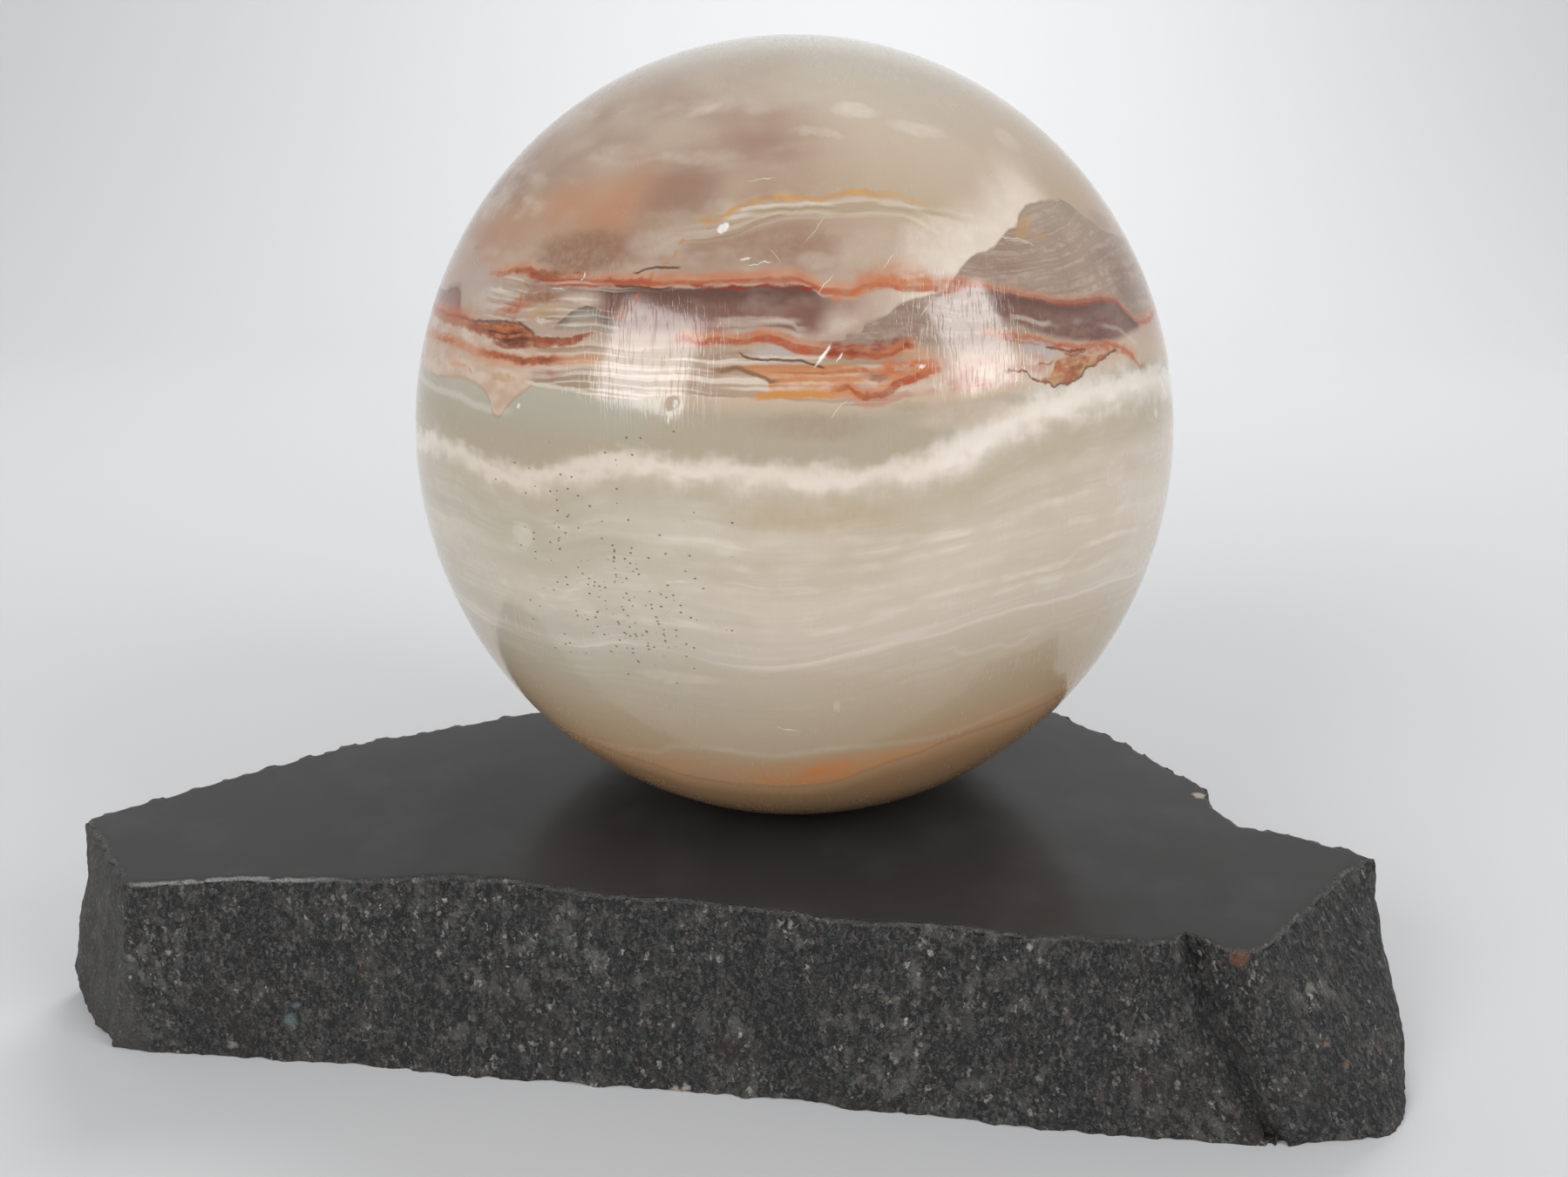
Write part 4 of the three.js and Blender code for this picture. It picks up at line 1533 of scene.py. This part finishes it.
# %% Onyx: rust stains
SMEAR = paint(132, 82, 46)
OCHRE_SPOT = paint(190, 146, 98)
stained_left = both(layer(22.9, 18.6, 0.4, 0.4), span(-46, -26, 5))
stain(both(stained_left, fine_lines, blotches), 0.5, SMEAR)
stain(both(stained_left, hair_lines), 0.4, PALE_LINE)
dab([
    (-40.0, 20.4, 2.8, 0.9, 0.2, RUST_BRIGHT, 0.65),
    (-37.5, 22.3, 3.0, 0.6, 0.0, RUST, 0.6),
    (-33.0, 23.6, 3.2, 0.5, 0.0, SMEAR, 0.5),
    (-44.0, 19.4, 2.2, 0.5, 0.1, RUST_BRIGHT, 0.5),
    (-43.0, 15.0, 5.0, 0.7, 0.0, GLOW_PALE, 0.5),
    (-36.5, 21.3, 2.8, 0.9, 0.0, SMEAR, 0.85),
    (-36.0, 19.9, 2.4, 0.6, 0.3, OCHRE_SPOT, 0.6),
    (-40.4, 20.4, 0.5, 1.8, 0.0, RUST_BRIGHT, 0.45),
    (-42.3, 19.65, 2.0, 0.35, 0.0, RUST_BRIGHT, 0.65),
    (-36.5, 23.2, 2.4, 0.5, 0.0, SMEAR, 0.5),
    (-42.0, 23.1, 2.6, 0.4, 0.0, RUST_BRIGHT, 0.5),
    (-45.5, 21.3, 2.8, 0.14, 0.0, PALE_LINE, 0.6),
    (-35.5, 19.9, 1.8, 0.45, 0.0, OLIVE, 0.5),
    (-35.3, 19.2, 1.4, 0.3, 0.0, PALE_LINE, 0.6),
    (-34.0, 22.0, 1.0, 0.12, 0.0, MILK, 0.7),
    (-52.0, 13.9, 2.3, 0.4, 0.0, GLOW_PALE, 0.75),
    (-48.3, 13.7, 0.7, 0.2, -0.3, RUST_BRIGHT, 0.6),
    (-40.5, 13.7, 2.0, 0.55, 0.0, OCHRE_SPOT, 0.8),
    (-31.0, 14.9, 1.5, 0.3, 0.0, RUST_PALE, 0.5),
    (-32.6, 14.6, 2.2, 0.8, 0.0, SMEAR, 0.3),
    (-58.0, 24.8, 1.8, 0.3, 0.1, RUST_PALE, 0.4),
    (-16.1, 26.4, 0.5, 0.4, 0.6, OCHRE_DEEP, 0.7),
    (-17.0, 25.4, 0.4, 0.35, 0.6, OCHRE_DEEP, 0.5),
    (-18.4, 24.4, 0.5, 0.4, 0.6, OCHRE_DEEP, 0.6),
    (-20.0, 23.0, 0.5, 0.9, 0.6, RUST_BRIGHT, 0.6),
    (-21.6, 21.6, 0.5, 0.8, 0.8, RUST_BRIGHT, 0.6),
    (-23.2, 20.2, 0.6, 0.7, 0.8, RUST_BRIGHT, 0.55),
])
for points in (
    [(-21.7, 23.7), (-20, 24.1), (-16.5, 24.2)],
    [(-24, 22.6), (-20, 22.5), (-17, 22.6)],
):
    stain(line(points, 0.04, 0.12, 1.0), 0.8, RUST_DARK)
left_colour = onyx_colour

# %% Onyx: the pocket at the right
onyx_colour = front_colour
UNDER_GREY = [(-7, 17.3), (-6, 17.0), (-3, 16.95), (0, 16.9), (2, 16.5), (3, 16.3)]
stain(line(UNDER_GREY, 0.04, 0.12, 1.0), 0.8, RUST_DARK)
POCKET_TOP = [(27, 15.3), (32, 14.4), (34, 15.1), (36, 15.9), (38, 15.9), (40, 15.8), (43, 15.7), (48, 15.9)]
POCKET_FOOT = [
    (27, 15.3), (29.5, 15.0), (30, 14.5), (31.5, 14.0), (33, 13.8), (34, 13.5), (36, 13.5),
    (37.5, 13.7), (39, 14.1), (40.5, 14.6), (42, 14.7), (44, 15.1), (48, 15.7),
]
dab([
    (32.5, 16.7, 2.8, 0.9, -0.1, BLUE_GREY, 0.85),
    (31.5, 15.2, 1.5, 0.45, 0.0, PINK_WHITE, 0.7),
    (23, 14.5, 2.4, 0.6, 0.0, PINK_WHITE, 0.6),
    (52, 13.8, 1.8, 0.8, 0.0, OLIVE, 0.35),
    (52, 15.2, 2.0, 0.8, -0.3, GLOW, 0.35),
])
pocket_foot = course(POCKET_FOOT)
pocket = both(layer(course(POCKET_TOP), pocket_foot, 0.25, 0.15, height=ragged_height), span(31, 47, 1.5))
stain(pocket, 0.85, RUST_BRIGHT, OCHRE_SPOT, tone=flakes)
stain(both(pocket, fine_lines, blotches), 0.5, RUST)
dab([
    (34.6, 14.1, 1.3, 0.5, 0.2, OCHRE_SPOT, 0.6),
    (38.2, 14.7, 1.3, 0.5, 0.2, RUST, 0.6),
])
for points, half, amount in (
    (POCKET_FOOT, 0.05, 0.8),
    ([(34, 16.9), (36, 16.6), (38, 16.3), (40.5, 16.2)], 0.07, 0.8),
    ([(37, 16.1), (38.5, 15.9), (40, 16.0)], 0.08, 0.5),
    ([(32, 15.5), (34, 15.6)], 0.03, 0.6),
):
    stain(line(points, half, 0.14, 1.0, height=ragged_height), amount, RUST_DARK, RUST)
PINK_FLECK = paint(188, 104, 92)
flecked = both(patch(22.6, 14.5, 2.6, 0.7), hair_lines, flakes)
stain(flecked, 0.8, PINK_FLECK)
right_colour = onyx_colour

# %% [markdown]
# The back of the ball
#
# The same beds run right through the stone, so the veins come out again at the back. There they
# follow courses of their own that start and end where the front ones leave off. The angle is
# counted from 0 to 360 for these, so that it doesn't jump in the middle of a vein.

# %% Onyx: veins round the back
BACK_RED = [
    (62, 17.3), (80, 18.5), (105, 21.5), (135, 22.8), (165, 21.0), (195, 19.5), (225, 20.5),
    (255, 18.8), (285, 18.0), (306, 18.2),
]
BACK_MAUVE_FOOT = [
    (60, 17.2), (80, 16.8), (105, 17.5), (135, 18.6), (165, 17.6), (195, 17.2), (225, 17.0),
    (255, 16.6), (285, 16.9), (306, 18.2),
]
BACK_RUST = [(106, 16.4), (125, 17.6), (140, 17.8), (160, 16.6), (178, 16.0)]
BACK_LOWER = [(200, 17.0), (225, 15.6), (250, 15.2), (285, 15.4), (302, 15.8)]
back_red = course(BACK_RED, back_angle)
back_foot = course(BACK_MAUVE_FOOT, back_angle)
back_bed = both(layer(back_red, back_foot, 0.4, 1.4), span(78, 268, 16, back_angle))
rust_thread = line(BACK_RUST, 0.35, 0.7, 8.0, height=ragged_height, along=back_angle)
lower_thread = line(BACK_LOWER, 0.15, 0.6, 8.0, height=ragged_height, along=back_angle)


def with_back_veins(colour):
    """The colour after the back's veins are laid over the given one."""
    global onyx_colour
    onyx_colour = colour
    stain(back_bed, 0.8, MAUVE, MAUVE_PALE, tone=under(back_red, 3.4))
    red_vein(BACK_RED, 0.8, fade=6.0, along=back_angle)
    stain(rust_thread, 0.9, RUST, RUST_BRIGHT, tone=flakes)
    stain(lower_thread, 0.75, RUST_BRIGHT, GLOW_PALE, tone=flakes)
    return onyx_colour


left_colour = with_back_veins(left_colour)
right_colour = with_back_veins(right_colour)

# %% [markdown]
# Polish, pits and light inside the stone
#
# The polish is high but worn. Fine rubbing marks cross it, it is duller on the deep rust vein at the
# left and in the pocket at the right, and there are small pits, mostly in one patch, and a few pale
# scratches. Onyx lets light in, so part of it scatters under the surface: a small, even subsurface
# share on the shader does that.

# %% Onyx: pits and scratches
PIT_SHADE = paint(92, 74, 56)
BRUISE = paint(244, 240, 234)
pits = use_group(tree, specks, {"Vector": stretch(1.0, 1.6), "Spacing": 0.55, "Share": 0.45, "Radius": 0.16})
dense = use_group(tree, spot_group, {"Vector": centred, "Place": on_ball(-21.0, -6.5), "Radius": 7.0})
sparse = use_group(tree, spot_group, {"Vector": centred, "Place": on_ball(-24.0, -2.0), "Radius": 17.0})
pit_share = calc(
    tree, "ADD", strength(dense.outputs[0], 0.9), strength(sparse.outputs[0], 0.26)
)
chance = calc(tree, "GREATER_THAN", pit_share, pits.outputs["Tone"])
pitted = both(pits.outputs["Mask"], chance)
SCRATCHES = [
    (2.3, 27.5, 1.5, 0.09, 0.93, 0.4),
    (3.3, 23.0, 1.0, 0.09, 1.1, 0.5),
    (3.2, 17.3, 0.8, 0.3, 1.4, 0.95),
    (5.2, 17.1, 0.3, 0.18, 1.4, 0.8),
    (12.6, 25.0, 1.0, 0.08, 0.9, 0.4),
    (4.9, 12.8, 0.9, 0.08, 1.1, 0.5),
    (-3.6, 25.2, 0.5, 0.08, -1.8, 0.5),
    (-5.2, 24.65, 1.0, 0.07, 0.0, 0.6),
    (-6.8, 25.1, 0.6, 0.1, 0.2, 0.6),
    (-30.8, 23.2, 0.16, 0.24, 0.0, 0.9),
    (-31.0, 22.8, 0.16, 0.14, 0.0, 0.8),
    (15.6, 16.1, 0.4, 0.2, 0.4, 0.8),
    (-14.7, 13.0, 0.3, 0.45, 0.0, 0.8),
    (-15.1, 11.8, 0.12, 0.6, 0.0, 0.6),
    (-36.8, 11.5, 0.3, 0.4, 0.0, 0.7),
    (-10.3, 27.6, 0.6, 0.5, 0.0, 1.0),
    (-0.8, -19.4, 1.3, 0.08, -0.3, 0.7),
    (-6.0, 31.6, 2.0, 0.07, 0.1, 0.4),
    (17.0, 20.9, 0.8, 0.08, 1.0, 0.4),
]
scratched = None
for at_angle, at_height, half_length, half_height, slope, amount in SCRATCHES:
    mark = strength(patch(at_angle, at_height, half_length, half_height, slope), amount)
    scratched = mark if scratched is None else calc(tree, "MAXIMUM", scratched, mark)


# %% Onyx: polish and relief
def rubbing(lean_deg, low, high):
    """Fine rubbing marks that lean by an angle from the upright."""
    turned_place = node(
        tree, "ShaderNodeMapping",
        {"Vector": centred, "Rotation": (0.0, math.radians(lean_deg), 0.0), "Scale": (4.5, 1.0, 0.3)},
    ).outputs[0]
    marks = node(tree, "ShaderNodeTexNoise", {"Vector": turned_place, "Scale": 1.0, "Detail": 1.0})
    return rise(tree, marks.outputs[0], low, high)


rubs = calc(tree, "MAXIMUM", rubbing(12.0, 0.55, 0.7), rubbing(-34.0, 0.58, 0.72))
rubbed = both(rubs, tone_of(5.0, 0.4, 0.62))
calm_gloss = calc(tree, "ADD", 0.09, strength(blotches, 0.03))
calm_gloss = calc(tree, "ADD", calm_gloss, strength(rubbed, 0.2))
calm_gloss = calc(tree, "ADD", calm_gloss, strength(calc(tree, "MAXIMUM", pitted, scratched), 0.4))
left_gloss = calc(tree, "ADD", calm_gloss, strength(deeper, 0.14))
right_gloss = calc(tree, "ADD", calm_gloss, strength(pocket, 0.14))
sunk = calc(tree, "ADD", pitted, strength(rubs, 0.06))
relief = node(
    tree, "ShaderNodeBump", {"Height": strength(sunk, -1.0), "Distance": 0.08 * MM, "Strength": 1.0}
)


# %% Onyx: shaders for the left, the right and the calm stone
def polished(colour, roughness):
    """A shader for the onyx, with pits and scratches laid over the colour."""
    global onyx_colour
    onyx_colour = colour
    # The pits are painted dark: this is painted shade inside the sunk pits.
    stain(pitted, 0.8, PIT_SHADE)
    stain(scratched, 1.0, BRUISE)
    return node(
        tree,
        "ShaderNodeBsdfPrincipled",
        {
            "Base Color": onyx_colour,
            "Roughness": roughness,
            "Normal": relief.outputs[0],
            "IOR": 1.55,
            "Subsurface Weight": 0.1,
            "Subsurface Radius": (1.0, 0.75, 0.5),
            "Subsurface Scale": 1.6 * MM,
        },
    ).outputs[0]


def choose(is_second, first, second):
    return node(tree, "ShaderNodeMixShader", {0: is_second, 1: first, 2: second}).outputs[0]


left = polished(left_colour, left_gloss)
right = polished(right_colour, right_gloss)
calm = polished(calm_colour, calm_gloss)
veined = choose(calc(tree, "LESS_THAN", angle, LEFT_UNTIL), right, left)
whole = choose(calc(tree, "LESS_THAN", up, VEINS_FROM), veined, calm)
tree.links.new(whole, tree.nodes["Material Output"].inputs["Surface"])
tree.nodes.remove(tree.nodes["Principled BSDF"])
ball.data.materials.append(onyx)
print("onyx nodes:", len(tree.nodes))

# %% [markdown]
# Put the dressed pieces on the body
#
# Each dressed piece rides on the same body, since the ball only rests on the slab, and the solid it
# stands in for is hidden.

# %% Put the pieces on the body and hide the solids
for piece, solid, slot in ((stone, "stone_slab", "dark_stone"), (ball, "onyx_ball", "banded_onyx")):
    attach(piece, "root")
    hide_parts(solid)

# %% [markdown]
# A plain studio
#
# The stage is a pale sheet that curves up behind the object, so there is no horizon. A plane is
# added, its back edge is extruded upwards, and a bevel rounds the fold. Two soft lamps give the
# highlights, and a pale world lights the rest.

# %% Sweep
SHEET = 3.0
WALL_AT = 1.1
WALL_UP = 2.0
FOLD = 0.6
AT_EDGE = 0.01
SHEET_COLOUR = paint(204, 204, 205)

bpy.ops.object.select_all(action="DESELECT")
bpy.ops.mesh.primitive_plane_add(size=SHEET, location=(0, WALL_AT - SHEET / 2, 0))
sheet = bpy.context.object
sheet.name = "sweep"
bpy.ops.object.mode_set(mode="EDIT")
bpy.ops.mesh.select_mode(type="EDGE")
bpy.ops.mesh.select_all(action="DESELECT")
bpy.ops.object.mode_set(mode="OBJECT")
points = sheet.data.vertices
for edge_line in sheet.data.edges:
    edge_line.select = all(points[i].co.y > SHEET / 2 - AT_EDGE for i in edge_line.vertices)
bpy.ops.object.mode_set(mode="EDIT")
bpy.ops.mesh.extrude_region_move(TRANSFORM_OT_translate={"value": (0, 0, WALL_UP)})
bpy.ops.mesh.select_all(action="DESELECT")
bpy.ops.object.mode_set(mode="OBJECT")
for edge_line in sheet.data.edges:
    ends = [points[i].co for i in edge_line.vertices]
    edge_line.select = all(end.y > SHEET / 2 - AT_EDGE and end.z < AT_EDGE for end in ends)
bpy.ops.object.mode_set(mode="EDIT")
bpy.ops.mesh.bevel(offset=FOLD, segments=24)
bpy.ops.object.mode_set(mode="OBJECT")
bpy.ops.object.transform_apply(location=True, rotation=True, scale=True)
bpy.ops.object.shade_smooth()
paper = bpy.data.materials.new("pale_sheet")
paper.use_nodes = True
paper.node_tree.nodes["Principled BSDF"].inputs["Base Color"].default_value = SHEET_COLOUR
paper.node_tree.nodes["Principled BSDF"].inputs["Roughness"].default_value = 0.9
sheet.data.materials.append(paper)

# %% Lamps and world
LAMP_AWAY = 1.2


def soft_lamp(name, direction, width, height, power):
    """A rectangular lamp that faces the ball from the given direction."""
    towards = Vector(direction).normalized()
    bpy.ops.object.light_add(type="AREA", location=ball_centre + towards * LAMP_AWAY)
    lamp = bpy.context.object
    lamp.name = name
    lamp.visible_camera = False
    lamp.rotation_mode = "QUATERNION"
    lamp.rotation_quaternion = towards.to_track_quat("Z", "Y")
    lamp.data.shape = "RECTANGLE"
    lamp.data.size = width
    lamp.data.size_y = height
    lamp.data.energy = power
    return lamp


soft_lamp("lamp_left", (-0.628, -0.623, 0.476), 0.53, 0.52, 6.0)
soft_lamp("lamp_right", (0.735, -0.45, 0.506), 0.4, 0.5, 4.6)

WALL_LAMP_AT = Vector((0.1, 0.5, 0.75))
WALL_LIT_AT = Vector((-0.05, 0.8, 0.02))
WALL_LAMP_SIZE = 0.4
WALL_LAMP_POWER = 4.0
bpy.ops.object.light_add(type="AREA", location=WALL_LAMP_AT)
wall_lamp = bpy.context.object
wall_lamp.name = "lamp_wall"
wall_lamp.visible_camera = False
wall_lamp.visible_glossy = False
wall_lamp.rotation_mode = "QUATERNION"
wall_lamp.rotation_quaternion = (WALL_LAMP_AT - WALL_LIT_AT).to_track_quat("Z", "Y")
wall_lamp.data.size = WALL_LAMP_SIZE
wall_lamp.data.energy = WALL_LAMP_POWER

# %% World
WORLD_MIDDLE = 0.6
WORLD_TO_RIGHT = 0.1
WORLD_COLOUR = (0.96, 0.98, 1.0, 1)

world = bpy.data.worlds.new("pale_room")
bpy.context.scene.world = world
world.use_nodes = True
sky = world.node_tree
direction = node(sky, "ShaderNodeTexCoord").outputs["Generated"]
to_the_right = node(sky, "ShaderNodeSeparateXYZ", {0: direction}).outputs[0]
level = calc(sky, "ADD", WORLD_MIDDLE, calc(sky, "MULTIPLY", to_the_right, WORLD_TO_RIGHT))
sky.links.new(level, sky.nodes["Background"].inputs["Strength"])
sky.nodes["Background"].inputs["Color"].default_value = WORLD_COLOUR
